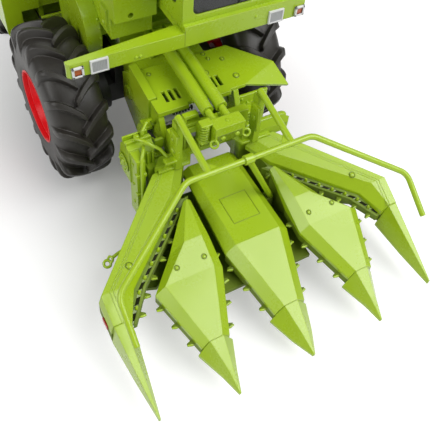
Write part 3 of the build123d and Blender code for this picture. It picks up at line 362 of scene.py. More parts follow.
def tubeShape(path, radius, sides=10, closed=False):    # a round bar; a list gives a radius for each point
    path = [Vector(p) for p in path]
    count = len(path)
    radii = radius if isinstance(radius, list) else [radius] * count
    points = []
    lean = Vector((0, 0, 1))
    for i, spot in enumerate(path):
        before = path[i - 1] if i or closed else spot
        after = path[(i + 1) % count] if i < count - 1 or closed else spot
        along = (after - before).normalized()
        if abs(along.dot(lean)) > 0.95:
            lean = Vector((1, 0, 0)) if abs(along.x) < 0.9 else Vector((0, 1, 0))
        lean = (lean - along * lean.dot(along)).normalized()
        other = along.cross(lean)
        for k in range(sides):
            across, up = onCircle(radii[i], k / sides)
            points.append(tuple(spot + across * lean + up * other))
    faces = bandFaces(count, sides, closed)
    return points, faces if closed else faces + endFaces(count, sides)


def tubeShapes(paths, radius, sides=10):
    return join(*[tubeShape(path, radius, sides) for path in paths])


def ringShape(centre, axis, radius, wire, sides=8, count=28):
    turn = Vector(axis).to_track_quat("Z", "Y")
    path = [Vector(centre) + turn @ Vector((*onCircle(radius, k / count), 0)) for k in range(count)]
    return tubeShape(path, wire, sides, True)


domeLook = {"sunk": 0.15, "steps": [(0.0, 1.0), (0.55, 0.94), (0.85, 0.72), (1.0, 0.4)]}     # height, radius


def domeShape(centre, axis, radius, height, sides=12):  # a rivet or screw head that stands on a face
    out, sunk = Vector(axis).normalized(), domeLook["sunk"]
    foot = Vector(centre) - sunk * out
    path = [foot + out * (height * up + sunk * (up > 0)) for up, _ in domeLook["steps"]]
    return tubeShape(path, [radius * wide for _, wide in domeLook["steps"]], sides)


def domeShapes(rows):
    return join(*[domeShape(*row) for row in rows])


def latheShape(profile, middle, count):                 # (x, radius) rows turned round an axle along X
    points = []
    for k in range(count):
        for x, r in profile:
            dy, dz = onCircle(r, k / count)
            points.append((middle[0] + x, middle[1] + dy, middle[2] + dz))
    return points, bandFaces(count, len(profile), closed=True, ring=False)


# rows: height and radius, in shares; hub and nut: radius in shares, height in millimetres, sides
wheelLook = {"toothed": [(0.0, 0.96), (0.12, 1.0), (0.88, 1.0), (1.0, 0.96)],
             "grooved": [(0.0, 1.0), (0.3, 1.0), (0.42, 0.86), (0.58, 0.86), (0.7, 1.0), (1.0, 1.0)],
             "gap": 0.82, "hub": (0.42, 0.5, 14), "nut": (0.2, 0.4, 6), "nutFoot": 0.45}


def wheelShape(centre, axis, radius, thick, teeth=0, sides=28):     # a pulley, or a sprocket if it has teeth
    out = Vector(axis).normalized()
    turn = out.to_track_quat("Z", "Y")
    count = 4 * teeth if teeth else sides
    rows = wheelLook["toothed" if teeth else "grooved"]
    points = []
    for up, wide in rows:
        for k in range(count):
            r = radius * wide * (wheelLook["gap"] if teeth and k % 4 > 1 else 1.0)
            points.append(tuple(Vector(centre) + turn @ Vector((*onCircle(r, k / count), thick * up))))
    shapes = [(points, bandFaces(len(rows), count) + endFaces(len(rows), count))]
    hub = Vector(centre) + out * thick
    for key, foot in (("hub", hub), ("nut", hub + out * wheelLook["nutFoot"])):
        share, height, corners = wheelLook[key]
        shapes.append(domeShape(foot, axis, share * radius, height, corners))
    return join(*shapes)


def coilShape(foot, head, radius, wire, turns, steps=96):           # a coil spring between two points
    foot, run = Vector(foot), Vector(head) - Vector(foot)
    turn = run.to_track_quat("Z", "Y")
    path = [foot + run * (k / steps) + turn @ Vector((*onCircle(radius, turns * k / steps), 0))
            for k in range(steps + 1)]
    return tubeShape(path, wire, 8)


def addPiece(name, shape, body, slot, finish=None, rounding=0.0, crease=38.0):
    mesh = bpy.data.meshes.new(name)
    mesh.from_pydata([tuple(value * mm for value in point) for point in shape[0]], [], shape[1])
    mesh.validate()
    faced = bmesh.new()
    faced.from_mesh(mesh)
    bmesh.ops.recalc_face_normals(faced, faces=faced.faces)
    faced.to_mesh(mesh)
    faced.free()
    mesh.shade_smooth()
    mesh.set_sharp_from_angle(angle=radians(crease))
    mesh.materials.append(materials[finish or slot])
    piece = bpy.data.objects.new(name, mesh)
    bpy.context.scene.collection.objects.link(piece)
    if rounding:
        soften = piece.modifiers.new("rounding", "BEVEL")
        soften.width, soften.segments, soften.limit_method = rounding * mm, 2, "ANGLE"
    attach(piece, body)
    return piece


# tyres: smooth carcass and curved lugs, in shares of the width and of the section's height
tyreLook = {
    "front": {"axleY": 0.0, "radius": 24.5, "width": 17.0, "track": 30.5, "rim": 11.3, "lugs": 16,
              "steps": 112},
    "rear": {"axleY": 74.0, "radius": 16.0, "width": 11.0, "track": 28.0, "rim": 7.4, "lugs": 12,
             "steps": 84},
    "flank": [(0.36, 0.0), (0.462, 0.0), (0.474, 0.02), (0.478, 0.07), (0.484, 0.08), (0.487, 0.13),
              (0.491, 0.24), (0.494, 0.34), (0.490, 0.45), (0.477, 0.54), (0.452, 0.63), (0.412, 0.71),
              (0.345, 0.775), (0.22, 0.812), (0.08, 0.822)],
    # columns: across, height of the top
    "lug": [(-0.045, 0.985), (-0.02, 1.0), (0.06, 1.0), (0.14, 1.0), (0.22, 0.996), (0.30, 0.984),
            (0.37, 0.96), (0.43, 0.915), (0.468, 0.845), (0.488, 0.755), (0.494, 0.66)],
    # columns: which half width, share of it, height from the top
    "section": [("foot", -1.0, -0.26), ("half", -1.0, -0.035), ("half", -0.75, 0.0), ("half", 0.0, 0.002),
                ("half", 0.75, 0.0), ("half", 1.0, -0.035), ("foot", 1.0, -0.26)],
    "half": 0.062, "foot": 0.080, "widen": 0.2,
    "start": 0.065, "sweep": 0.375, "lean": 0.2525, "bow": 1.45, "inner": 0.05, "reach": 0.49,
    # columns: across, from the rim's edge, in shares of the width and of the rim
    "lip": [(0.39, -0.012), (0.462, -0.012), (0.470, 0.010), (0.480, 0.012), (0.486, -0.004),
            (0.484, -0.030), (0.474, -0.040), (0.39, -0.052)],
    "lipSteps": 72,
    "studs": {"count": 8, "out": 0.12, "circle": 0.44, "radius": 0.05, "height": 0.045, "sides": 6}}


def lugShape(spec, middle, row, start):
    radius, width, rim = spec["radius"], spec["width"], spec["rim"]
    points = []
    for across, top in tyreLook["lug"]:
        run = max(0.0, min(1.0, (across + tyreLook["inner"]) / tyreLook["reach"]))
        bent = 1 - (1 - run) ** tyreLook["bow"]
        around = tyreLook["start"] + tyreLook["sweep"] * bent - tyreLook["lean"]
        for key, share, rise in tyreLook["section"]:
            offset = share * tyreLook[key] * (1 + tyreLook["widen"] * run)
            a = start - (around + offset) * width / radius
            r = min(rim + (top + rise) * (radius - rim), radius)
            points.append((middle[0] + row * across * width, middle[1] + r * cos(a), middle[2] + r * sin(a)))
    rows, wide = len(tyreLook["lug"]), len(tyreLook["section"])
    return points, bandFaces(rows, wide, ring=False) + endFaces(rows, wide)


def tyreShape(spec, middle):
    section = spec["radius"] - spec["rim"]
    flank = [(x * spec["width"], spec["rim"] + h * section) for x, h in tyreLook["flank"]]
    shapes = [latheShape(flank + [(-x, r) for x, r in reversed(flank)], middle, spec["steps"])]
    for row in (1, -1):         # the second row stands half a pitch on
        shapes += [lugShape(spec, middle, row, 2 * pi * (k + (1 - row) / 4) / spec["lugs"])
                   for k in range(spec["lugs"])]
    return join(*shapes)


def studShape(spec, middle, side):
    studs, rim, shapes = tyreLook["studs"], spec["rim"], []
    for k in range(studs["count"]):
        dy, dz = onCircle(studs["circle"] * rim, k / studs["count"])
        foot = (middle[0] + side * studs["out"] * spec["width"], middle[1] + dy, middle[2] + dz)
        shapes.append(domeShape(foot, (side, 0, 0), studs["radius"] * rim, studs["height"] * rim,
                                studs["sides"]))
    return join(*shapes)


for axle in ("front", "rear"):
    spec = tyreLook[axle]
    for side, hand in hands:
        body = axle + "_wheel_" + hand.lower()
        middle = (side * spec["track"], spec["axleY"], spec["radius"])
        tyre = addPiece(axle + "Tyre" + hand, tyreShape(spec, middle), body, "tyre", crease=50)
        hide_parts(axle + "_tyre_" + hand.lower())
        addPiece(axle + "Studs" + hand, studShape(spec, middle, side), body, "steel")
        lip = [(side * x * spec["width"], spec["rim"] + r * spec["rim"]) for x, r in tyreLook["lip"]]
        lipShape = latheShape(lip + lip[:1], middle, tyreLook["lipSteps"])
        addPiece(axle + "RimLip" + hand, lipShape, body, "rim_red")
print("tyres and wheel studs made")

# gathering chains: a bright finger at each link, beside the covers' edges
# columns of a line: x, y, z of the cover's lower edge, and the way to the row
chainLook = {
    "pitch": 6.2, "reach": 1.7, "trail": 0.6, "root": (-0.4, 0.6), "drop": 1.3,
    "radii": [0.546, 0.483, 0.294],
    "lines": [([(12.2, -50.5, 23.43), (33.8, -68.6, 17.38), (40.0, -76.0, 13.83)], -1),
              ([(12.8, -64.4, 18.80), (12.9, -72.8, 16.66), (19.6, -89.6, 11.51)], -1),
              ([(33.2, -72.8, 16.66), (28.0, -89.6, 11.51)], 1),
              ([(10.2, -69.7, 16.90), (5.0, -89.2, 9.95)], 1)]}


def chainShape():
    shapes = []
    for line, out in chainLook["lines"]:
        for first, second in zip(line, line[1:]):
            first, run = Vector(first), Vector(second) - Vector(first)
            along = Vector((run.x, run.y, 0)).normalized()
            across = Vector((-along.y, along.x, 0))
            across *= out if across.x > 0 else -out
            count = max(1, round(run.length / chainLook["pitch"]))
            for k in range(count):
                foot = first + run * ((k + 0.5) / count) - Vector((0, 0, chainLook["drop"]))
                path = [foot + across * step for step in chainLook["root"]]
                path.append(foot + across * chainLook["reach"] - along * chainLook["trail"])
                for side, _ in hands:
                    shapes.append(tubeShape([(side * p.x, p.y, p.z) for p in path], chainLook["radii"], 8))
    return join(*shapes)


addPiece("chainFingers", chainShape(), "intake", "body_green")

# outer covers with their noses; the inner edge stands back from the chain, over a bed with pins and dark
# pockets of painted shade
# columns of a row: distance from the header's back, inner and outer foot, z of the top, rise of both slopes
coverLook = {
    "back": -39.6, "skirt": 0.9, "runs": {"cover": (1.3, 0.3), "nose": (0.4, 0.12)},
    "cover": [(3.8, 10.5, 20.7, 29.2, 1.92, 2.67), (10.9, 15.2, 28.2, 27.0, 2.15, 2.67),
              (29.0, 37.4, 47.2, 21.2, 2.92, 2.67), (36.4, 41.3, 47.2, 17.4, 1.85, 2.67)],
    "nose": [(36.5, 40.7, 47.2, 17.2, 7.20, 7.20), (48.4, 42.5, 46.2, 11.8, 4.00, 4.00),
             (59.8, 44.4, 45.0, 6.7, 0.60, 0.60)],
    "beadInsets": (2.4, 3.3), "beadSunk": 0.02, "beadR": 0.12}
# columns of the strip: x from and to, y, z; shares run along the strip and across it
bedLook = {
    "strip": [((12.6, 16.4), -50.6, 23.3), ((34.2, 38.4), -68.6, 17.25), ((40.3, 42.4), -75.9, 13.7)],
    "bend": 0.74, "thick": 0.5, "pitches": 9, "pinAcross": 0.34, "pinLean": -0.25, "pinR": 0.5, "pinH": 1.2,
    "pocketAlong": (0.03, 0.085), "pocketAcross": (0.12, 0.85), "pocketHalf": 0.04}


def coverShape(part, side):
    points, rows = [], coverLook[part]
    runIn, runOut = coverLook["runs"][part]
    for distance, inner, outer, top, riseIn, riseOut in rows:
        low = top - max(riseIn, riseOut) - coverLook["skirt"]
        loop = ((inner, low), (inner, top - riseIn), (inner + runIn * riseIn, top),
                (outer - runOut * riseOut, top), (outer, top - riseOut), (outer, low))
        points += [(side * x, coverLook["back"] - distance, z) for x, z in loop]
    return points, bandFaces(len(rows), 6) + endFaces(len(rows), 6)


def onBed(side, share, across):
    strip, bend = bedLook["strip"], bedLook["bend"]
    along = share / bend if share < bend else min(1 + (share - bend) / (1 - bend), 1.999)
    i, part = int(along), along % 1
    ((a0, a1), ya, za), ((b0, b1), yb, zb) = strip[i], strip[i + 1]
    x0, x1 = a0 + (b0 - a0) * part, a1 + (b1 - a1) * part
    return Vector((side * (x0 + (x1 - x0) * across), ya + (yb - ya) * part, za + (zb - za) * part))


def bedShapes(side):        # the bed as a strip, and its pins and dark pockets of painted shade in turn
    points, pins, pocketShades = [], [], []
    for (x0, x1), y, z in bedLook["strip"]:
        low = z - bedLook["thick"]
        points += [(side * x0, y, low), (side * x1, y, low), (side * x1, y, z), (side * x0, y, z)]
    rows = len(bedLook["strip"])
    lift = Vector((0, 0, bedLook["pocketHalf"]))
    (near, far), (edge, deep) = bedLook["pocketAlong"], bedLook["pocketAcross"]
    for k in range(1, bedLook["pitches"]):
        share = k / bedLook["pitches"]
        foot = onBed(side, share, bedLook["pinAcross"])
        pins.append(domeShape(foot, (bedLook["pinLean"] * side, 0, 1), bedLook["pinR"], bedLook["pinH"], 10))
        corners = [onBed(side, share + ahead, across)
                   for ahead, across in ((near, edge), (far, edge), (far, deep), (near, deep))]
        pocketShades.append(([tuple(p - lift) for p in corners] + [tuple(p + lift) for p in corners],
                        bandFaces(2, 4) + endFaces(2, 4)))
    return (points, bandFaces(rows, 4) + endFaces(rows, 4)), join(*pins), join(*pocketShades)


def beadShape():            # pressed lines along the covers' tops
    lines = []
    for side, _ in hands:
        for inset in coverLook["beadInsets"]:
            lines.append([(side * (outer - coverLook["runs"]["cover"][1] * riseOut - inset),
                           coverLook["back"] - distance, top - coverLook["beadSunk"])
                          for distance, _, outer, top, _, riseOut in coverLook["cover"]])
    return tubeShapes(lines, coverLook["beadR"], 6)


for side, hand in hands:
    shape = join(coverShape("cover", side), coverShape("nose", side))
    cover = addPiece("outerCover" + hand, shape, "intake", "body_green", crease=8)
    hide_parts("outer_divider_" + hand.lower())
    bed, pins, pocketShades = bedShapes(side)
    # the beds take the darker green as painted shade under the covers' edges
    addPiece("chainBed" + hand, bed, "intake", "header_dark", "seamAndShade", crease=20)
    addPiece("chainPins" + hand, pins, "intake", "body_green")
    # dark patches on the beds: painted shade in the pockets
    addPiece("chainPocketShade" + hand, pocketShades, "intake", "frame_black", "pocketShade")
print("outer covers and chain beds made")

# lamps: lenses in the headlamps' frames and pale frames round the turn lamps
lampLook = {"face": -29.3, "headX": (-27.2, 25.0), "headHalf": (1.95, 1.55), "headZ": 59.3,
            "headY": (0.12, 0.4), "turnX": (-32.9, 32.9), "turnHalf": 1.55, "turnZ": 59.0,
            "turnY": (-0.15, 0.5), "frame": 0.6}


def lensShape():
    (wide, tall), z = lampLook["headHalf"], lampLook["headZ"]
    y0, y1 = (lampLook["face"] + step for step in lampLook["headY"])
    return boxShapes([((x - wide, y0, z - tall), (x + wide, y1, z + tall)) for x in lampLook["headX"]])


def turnFrameShape():
    half, inner, z = lampLook["turnHalf"], lampLook["turnHalf"] - lampLook["frame"], lampLook["turnZ"]
    y0, y1 = (lampLook["face"] + step for step in lampLook["turnY"])
    bars = ((-half, half, inner, half), (-half, half, -half, -inner), (-half, -inner, -half, half),
            (inner, half, -half, half))
    return boxShapes([((x + x0, y0, z + z0), (x + x1, y1, z + z1))
                      for x in lampLook["turnX"] for x0, x1, z0, z1 in bars])


addPiece("headlampLenses", lensShape(), "chassis", "lamp_lens", "lensGlass", 0.06)
addPiece("turnLampFrames", turnFrameShape(), "chassis", "lamp_lens", None, 0.1)

# coupling: coil springs, plates, screws and hooks, a ring, a stub tube and a row of black blocks below the
# hood's lip
couplingLook = {
    "springs": [((-6.0, -46.6, 40.1), (-6.0, -46.6, 46.1)), ((-1.2, -39.4, 30.6), (-1.2, -39.4, 36.4)),
                ((14.6, -37.0, 26.6), (14.6, -36.4, 34.4))],
    "springR": 1.25, "wire": 0.34, "turns": 6.5,
    "plates": [((-7.6, -48.0, 39.5), (-4.1, -45.2, 40.2)), ((-7.6, -48.0, 46.0), (-4.1, -45.2, 46.5)),
               ((12.5, -38.4, 34.3), (16.0, -35.2, 35.0)), ((12.5, -38.4, 26.0), (16.0, -35.2, 26.7)),
               ((-14.7, -47.2, 36.2), (-13.5, -43.2, 44.8)), ((10.5, -47.2, 36.2), (11.7, -43.2, 44.8)),
               ((-17.0, -46.0, 33.5), (-13.5, -43.8, 34.5))],
    "screws": [((-14.7, -45.4, 38.6), (-1, 0, 0), 1.0, 0.5), ((-14.7, -45.0, 42.6), (-1, 0, 0), 0.6, 0.4),
               ((10.5, -45.4, 40.6), (-1, 0, 0), 1.0, 0.5), ((-2.2, -50.1, 42.3), (0, -1, 0), 0.75, 0.45),
               ((2.2, -50.1, 42.3), (0, -1, 0), 0.75, 0.45), ((0.0, -48.0, 46.2), (0, 0, 1), 0.6, 0.35)],
    "hooks": [((-4.9, -50.3, 41.2), (-0.5, -0.6, 0.6), 1.0, 0.36),
              ((5.2, -50.0, 41.4), (-0.3, -0.8, 0.5), 1.0, 0.36)],
    "shadePlate": ((-3.9, -50.16, 41.2), (3.9, -49.9, 43.5)),
    "ring": ((1.6, -40.2, 30.6), (0.2, -1, 0.5), 1.15, 0.4),
    "ringStem": [(1.6, -39.6, 31.8), (1.6, -38.9, 33.5), (1.6, -38.6, 36.2)], "stemR": 0.45,
    "stub": [(x, -38.5, 29.2) for x in (12.2, 25.2, 26.6, 27.3, 27.6)],
    "stubR": [1.35, 1.35, 1.25, 0.9, 0.45],
    "lipBlocks": [((-8.4 + 0.95 * k, -33.0, 37.9), (-7.9 + 0.95 * k, -32.2, 39.2)) for k in range(7)]}
coil = (couplingLook["springR"], couplingLook["wire"], couplingLook["turns"])
addPiece("couplingSprings", join(*[coilShape(*ends, *coil) for ends in couplingLook["springs"]]),
         "intake", "body_green")
addPiece("couplingPlates", boxShapes(couplingLook["plates"]), "intake", "body_green", None, 0.2)
addPiece("couplingScrews", join(domeShapes(couplingLook["screws"]),
                                *[ringShape(*row) for row in couplingLook["hooks"]]), "intake", "body_green")
# a dark green plate on the channel's lower front: painted shade below the bar
addPiece("channelShadePlate", boxShape(*couplingLook["shadePlate"]), "intake", "body_green", "seamAndShade", 0.05)
addPiece("couplingRing", join(ringShape(*couplingLook["ring"]),
                              tubeShape(couplingLook["ringStem"], couplingLook["stemR"], 8)),
         "intake", "body_green")
addPiece("couplingStub", tubeShape(couplingLook["stub"], couplingLook["stubR"], 16), "intake", "body_green")
addPiece("hoodLipBlocks", boxShapes(couplingLook["lipBlocks"]), "intake", "frame_black", None, 0.08)

# plates at the header's back: inner and outer x, y and z of the top, or x and z of half a section
shoulderLook = {"back": (6.0, 17.6, -39.7, 30.7), "front": (8.6, 18.4, -44.4, 29.9), "thick": 0.9}
apronLook = {"section": [(9.0, 19.6), (9.0, 21.0), (6.9, 22.9)], "y": (-44.3, -40.1)}


def shoulderShape(side):    # the sloping plate that closes the header behind an outer cover
    points = []
    for x0, x1, y, z in (shoulderLook["back"], shoulderLook["front"]):
        low = z - shoulderLook["thick"]
        points += [(side * x0, y, z), (side * x1, y, z), (side * x1, y, low), (side * x0, y, low)]
    return points, bandFaces(2, 4) + endFaces(2, 4)


def apronShape():           # carries the centre cover's top back to the header's rear plates
    half = apronLook["section"]
    loop = half + [(-x, z) for x, z in reversed(half)]
    return ([(x, y, z) for y in apronLook["y"] for x, z in loop],
            bandFaces(2, len(loop)) + endFaces(2, len(loop)))


addPiece("centreApron", apronShape(), "intake", "body_green", None, 0.2)
addPiece("headerShoulders", join(shoulderShape(1), shoulderShape(-1)), "intake", "body_green", None, 0.2)

# drive beside the intake: pulleys, belt, sprockets below the hood's wing, gearbox flange, ribs and pipes
driveLook = {
    "pulleys": [((-13.9, -27.0, 27.0), (-1, 0, 0), 4.0, 1.5), ((-13.9, -34.4, 30.4), (-1, 0, 0), 2.2, 1.5)],
    "flange": ((-24.8, -36.1, 29.6), (-1, 0, 0), 3.0, 0.7),
    "sprockets": [((16.2, -33.4, 31.6), (0, -1, 0.15), 2.9, 0.9, 12),
                  ((21.0, -33.4, 33.8), (0, -1, 0.15), 1.9, 0.9, 9),
                  ((18.6, -33.4, 27.6), (0, -1, 0.15), 1.7, 0.9, 8)],
    "plates": [((12.8, -33.5, 24.6), (23.0, -32.6, 37.2)), ((-18.0, -38.0, 26.6), (-13.5, -35.6, 29.4)),
               ((-17.6, -33.4, 19.5), (-13.5, -31.4, 22.0)), ((-16.0, -30.4, 32.4), (-13.6, -26.6, 33.6)),
               ((-16.2, -37.2, 31.4), (-13.5, -36.2, 35.0))],
    "ribs": [((-21.5 + 1.5 * k, -40.3, 25.0), (-20.8 + 1.5 * k, -39.4, 34.6)) for k in range(3)]
            + [((-25.0, -37.6 + 2.4 * k, 36.4), (-17.5, -37.0 + 2.4 * k, 38.2)) for k in range(2)]
            + [((-24.9, -43.8, 13.5 + 8.0 * k), (-21.7, -42.4, 14.9 + 8.0 * k)) for k in range(3)],
    "pipes": [[(-19.8, -36.4, 36.6), (-19.4, -36.2, 39.6), (-17.6, -34.8, 40.4), (-15.4, -32.4, 38.8),
               (-14.2, -31.0, 36.0), (-13.6, -30.6, 34.6)],
              [(-22.4, -36.4, 36.8), (-22.2, -37.8, 39.2), (-20.6, -40.2, 39.6), (-17.2, -42.6, 37.4),
               (-15.4, -43.6, 34.4)],
              [(-23.3, -43.9, 14.0), (-23.3, -43.9, 34.0), (-22.9, -43.2, 36.4), (-21.6, -41.4, 37.6),
               (-20.6, -39.2, 37.0)]],
    "bolts": [((-25.0, -36.1 + 2.2 * cos(k * pi / 3), 29.6 + 2.2 * sin(k * pi / 3)), (-1, 0, 0), 0.45, 0.9)
              for k in range(6)]
             + [((-24.6, -41.0, z), (-1, 0, 0), 0.5, 0.35) for z in (17.0, 25.0, 33.0)]
             + [((-16.0, -37.0, 29.4), (0, 0, 1), 0.55, 0.4), ((-15.6, -32.4, 22.0), (0, 0, 1), 0.55, 0.4),
                ((-14.8, -28.5, 33.6), (0, 0, 1), 0.5, 0.35)]
             + [((x, -33.5, z), (0, -1, 0), 0.5, 0.35)
                for x, z in ((22.0, 36.0), (14.0, 36.0), (21.8, 26.0))]
             + [((-21.2, -36.0, 37.3), (0, 0, 1), 1.0, 1.1)],
    "pipeR": 0.5, "beltR": 0.42, "beltOut": 0.75, "beltSeat": 0.9, "beltSteps": 10}


def beltPath(first, second):        # round two pulleys on axles along X
    (x, y0, z0), _, r0, _ = first
    (_, y1, z1), _, r1, _ = second
    lead = Vector((0, y1 - y0, z1 - z0)).normalized()
    side = Vector((0, -lead.z, lead.y))
    path = []
    for y, z, r, start in ((y0, z0, r0, 0.25), (y1, z1, r1, -0.25)):
        for k in range(driveLook["beltSteps"] + 1):
            ahead, across = onCircle(driveLook["beltSeat"] * r, start + 0.5 * k / driveLook["beltSteps"])
            path.append(Vector((x - driveLook["beltOut"], y, z)) + ahead * lead + across * side)
    return path


wheels = [wheelShape(*row) for row in driveLook["pulleys"] + [driveLook["flange"]]]
addPiece("drivePulleys", join(*wheels), "intake", "body_green")
belt = tubeShape(beltPath(*driveLook["pulleys"]), driveLook["beltR"], 8, True)
addPiece("driveBelt", belt, "intake", "frame_black")
sprockets = [wheelShape(*row) for row in driveLook["sprockets"]]
addPiece("driveSprockets", join(*sprockets), "intake", "body_green")
plates = boxShapes(driveLook["plates"] + driveLook["ribs"])
addPiece("drivePlates", plates, "intake", "body_green", None, 0.2)
addPiece("drivePipes", tubeShapes(driveLook["pipes"], driveLook["pipeR"]), "intake", "body_green")
addPiece("driveBolts", domeShapes(driveLook["bolts"]), "intake", "body_green")

# small fasteners: foot point, way out, radius and height
hoodUp, snoutUp, outerUp, forward = (0, -0.125, 1), (0, -0.417, 1), (0, -0.32, 1), (0, -1, 0)
fasteners = {
    "intake": [((6.3, -24.3, 41.62), hoodUp, 0.8, 0.35), ((14.4, -28.4, 41.1), hoodUp, 0.8, 0.35),
               ((9.0, -17.4, 42.49), hoodUp, 0.5, 0.3), ((9.6, -19.6, 42.21), hoodUp, 0.45, 0.3),
               ((13.6, -21.1, 42.02), hoodUp, 0.5, 0.3), ((-9.4, -19.0, 42.29), hoodUp, 0.45, 0.3)]
              + [((x, -69.7, 21.49), snoutUp, 0.55, 0.35) for x in (17.2, -17.2, 25.4, -25.4)]
              + [((x, -64.2, 22.62), outerUp, 0.8, 0.5) for x in (36.6, -36.6)],
    "chassis": [((-17.1, -28.7, 58.3), forward, 0.5, 0.35), ((-15.9, -28.7, 58.3), forward, 0.5, 0.35),
                ((18.6, -28.7, 60.7), forward, 0.5, 0.3)]
               + [((-17.2, 8 + 11.5 * cos(a), 46 + 11.5 * sin(a)), (0, cos(a), sin(a)), 0.4, 0.3)
                  for a in (radians(150 + 14 * k) for k in range(5))]
               + [((-17.6, -8.0, 55.2), (-1, 0, 0), 0.8, 0.4), ((-16.4, -10.0, 55.3), forward, 0.55, 0.3)]}
seatLook = {"rise": 0.02, "room": 0.15, "wire": 0.13, "sides": 6, "steps": 20}     # dark line round each
seats = [ringShape(Vector(foot) + seatLook["rise"] * Vector(axis), axis, radius + seatLook["room"],
                   seatLook["wire"], seatLook["sides"], seatLook["steps"])
         for foot, axis, radius, _ in fasteners["intake"]]
addPiece("fastenerSeats", join(*seats), "intake", "body_green", "seamAndShade")
for body, rows in fasteners.items():
    addPiece(body + "Fasteners", domeShapes(rows), body, "body_green")

# the hatch's line on the centre cover, towing rings and reflectors on the outer covers, and the beam's seam
trimLook = {
    "hatch": [(-4.25, -54.6, 21.95), (4.25, -54.6, 21.95), (4.25, -63.6, 21.15), (-4.25, -63.6, 21.15)],
    "hatchR": 0.13, "beamSeam": ((-3.26, -28.74, 57.2), (-3.12, -28.5, 62.2)),
    # for the machine's left: centre, axis, radius and wire of each ring
    "towRings": [((40.4, -58.0, 17.6), (0.16, -0.52, 0.84), 0.95, 0.4),
                 ((39.2, -57.4, 18.2), (0.8, -0.3, 0.5), 0.8, 0.36)],
    "towStem": [(34.6, -57.0, 19.8), (37.0, -57.2, 19.2), (38.6, -57.4, 18.6)], "towStemR": 0.5,
    "reflector": ((47.1, -74.0, 13.0), (47.6, -71.0, 15.0))}


def mirror(point, side):
    return side * point[0], point[1], point[2]


hatch = tubeShape(trimLook["hatch"], trimLook["hatchR"], 6, True)
addPiece("coverHatch", hatch, "intake", "body_green", "seamAndShade")
for side, hand in hands:
    rings = [ringShape(mirror(centre, side), mirror(axis, side), radius, wire)
             for centre, axis, radius, wire in trimLook["towRings"]]
    stem = tubeShape([mirror(point, side) for point in trimLook["towStem"]], trimLook["towStemR"], 8)
    addPiece("towRing" + hand, join(*rings, stem), "intake", "body_green")
    reflector = boxShape(*[mirror(corner, side) for corner in trimLook["reflector"]])
    addPiece("reflector" + hand, reflector, "intake", "lamp_red", None, 0.15)
addPiece("coverBeads", beadShape(), "intake", "body_green")
addPiece("beamSeam", boxShape(*trimLook["beamSeam"]), "chassis", "body_green", "seamAndShade")
print("header and coupling dressed")

# engine hood and cab: black plates behind the slots and dark green liners in the wheel arches, both painted
# shade; panels behind the front wheels, doors, grille and trim
rearLook = {
    "louvreShadeBacking": [((-24.6, 54.0, 42.0), (-24.2, 92.0, 63.0)), ((-21.0, 95.2, 40.0), (21.0, 95.5, 62.0))],
    "archPanels": [((side * 12.0, 25.3, 27.0), (side * 26.0, 26.3, 36.4)) for side, _ in hands],
    "archShadeLiners": [((-31.9, 31.6, 29.2), (-24.8, 32.4, 40.1)), ((-24.7, 28.0, 34.5), (-15.8, 28.8, 40.6))],
    "hoodDoors": [((26.0, 88.0, 40.0), (26.35, 94.0, 66.0)), ((26.0, 29.0, 40.0), (26.35, 54.0, 66.0)),
                  ((-26.35, 55.0, 62.5), (-26.0, 92.0, 67.0))],
    "filler": [(-32.5, 33.0, 57.8), (-32.5, 33.0, 59.4), (-32.5, 33.0, 59.8)], "fillerR": [2.4, 2.4, 2.0],
    "handle": [(29.0, 3.0, 74.0), (29.9, 3.0, 74.0), (29.9, 3.0, 79.0), (29.0, 3.0, 79.0)], "handleR": 0.4,
    "wiper": [(13.0, -27.5, 66.0), (13.0, -28.0, 66.6), (17.5, -28.0, 84.0)], "wiperR": 0.35}
grilleLook = {"middle": (27.75, 70.0, 54.0), "rings": (3.0, 5.2, 7.4, 9.6, 11.8), "ringSteps": 40,
              "spokes": 12, "spokeReach": (2.8, 12.0), "wire": 0.28, "sides": 6}


def grilleShape():
    x, y, z = grilleLook["middle"]
    wire, sides = grilleLook["wire"], grilleLook["sides"]
    shapes = [ringShape((x, y, z), (1, 0, 0), r, wire, sides, grilleLook["ringSteps"])
              for r in grilleLook["rings"]]
    for k in range(grilleLook["spokes"]):
        ends = [onCircle(reach, k / grilleLook["spokes"]) for reach in grilleLook["spokeReach"]]
        shapes.append(tubeShape([(x, y + dy, z + dz) for dy, dz in ends], wire, sides))
    return join(*shapes)


# black plates behind the hood's slots: painted shade inside the hood
addPiece("louvreShadeBacking", boxShapes(rearLook["louvreShadeBacking"]), "chassis", "frame_black")
addPiece("archPanels", boxShapes(rearLook["archPanels"]), "chassis", "body_green", None, 0.2)
# dark green liners inside the wheel arches: painted shade
addPiece("archShadeLiners", boxShapes(rearLook["archShadeLiners"]), "chassis", "body_green", "seamAndShade", 0.15)
addPiece("hoodDoors", boxShapes(rearLook["hoodDoors"]), "chassis", "body_green", None, 0.2)
addPiece("screenGrille", grilleShape(), "chassis", "frame_black")
filler = tubeShape(rearLook["filler"], rearLook["fillerR"], 24)
addPiece("fillerCap", filler, "chassis", "frame_black", None, 0.15)
addPiece("doorHandle", tubeShape(rearLook["handle"], rearLook["handleR"], 8), "chassis", "frame_black")
addPiece("wiper", tubeShape(rearLook["wiper"], rearLook["wiperR"], 8), "chassis", "frame_black")
print("rear and cab dressed")

# the place of the camera, its turn in degrees, its focal length and optical centre in picture pixels
photoView = {"place": (-0.0694, -0.1515, 0.1681), "azimuth": -37.193, "elevation": 52.21, "roll": 9.009,
             "focal": 647.7, "centre": (240.57, 212.0), "picture": (430, 422), "sensor": 36.0, "near": 0.005}


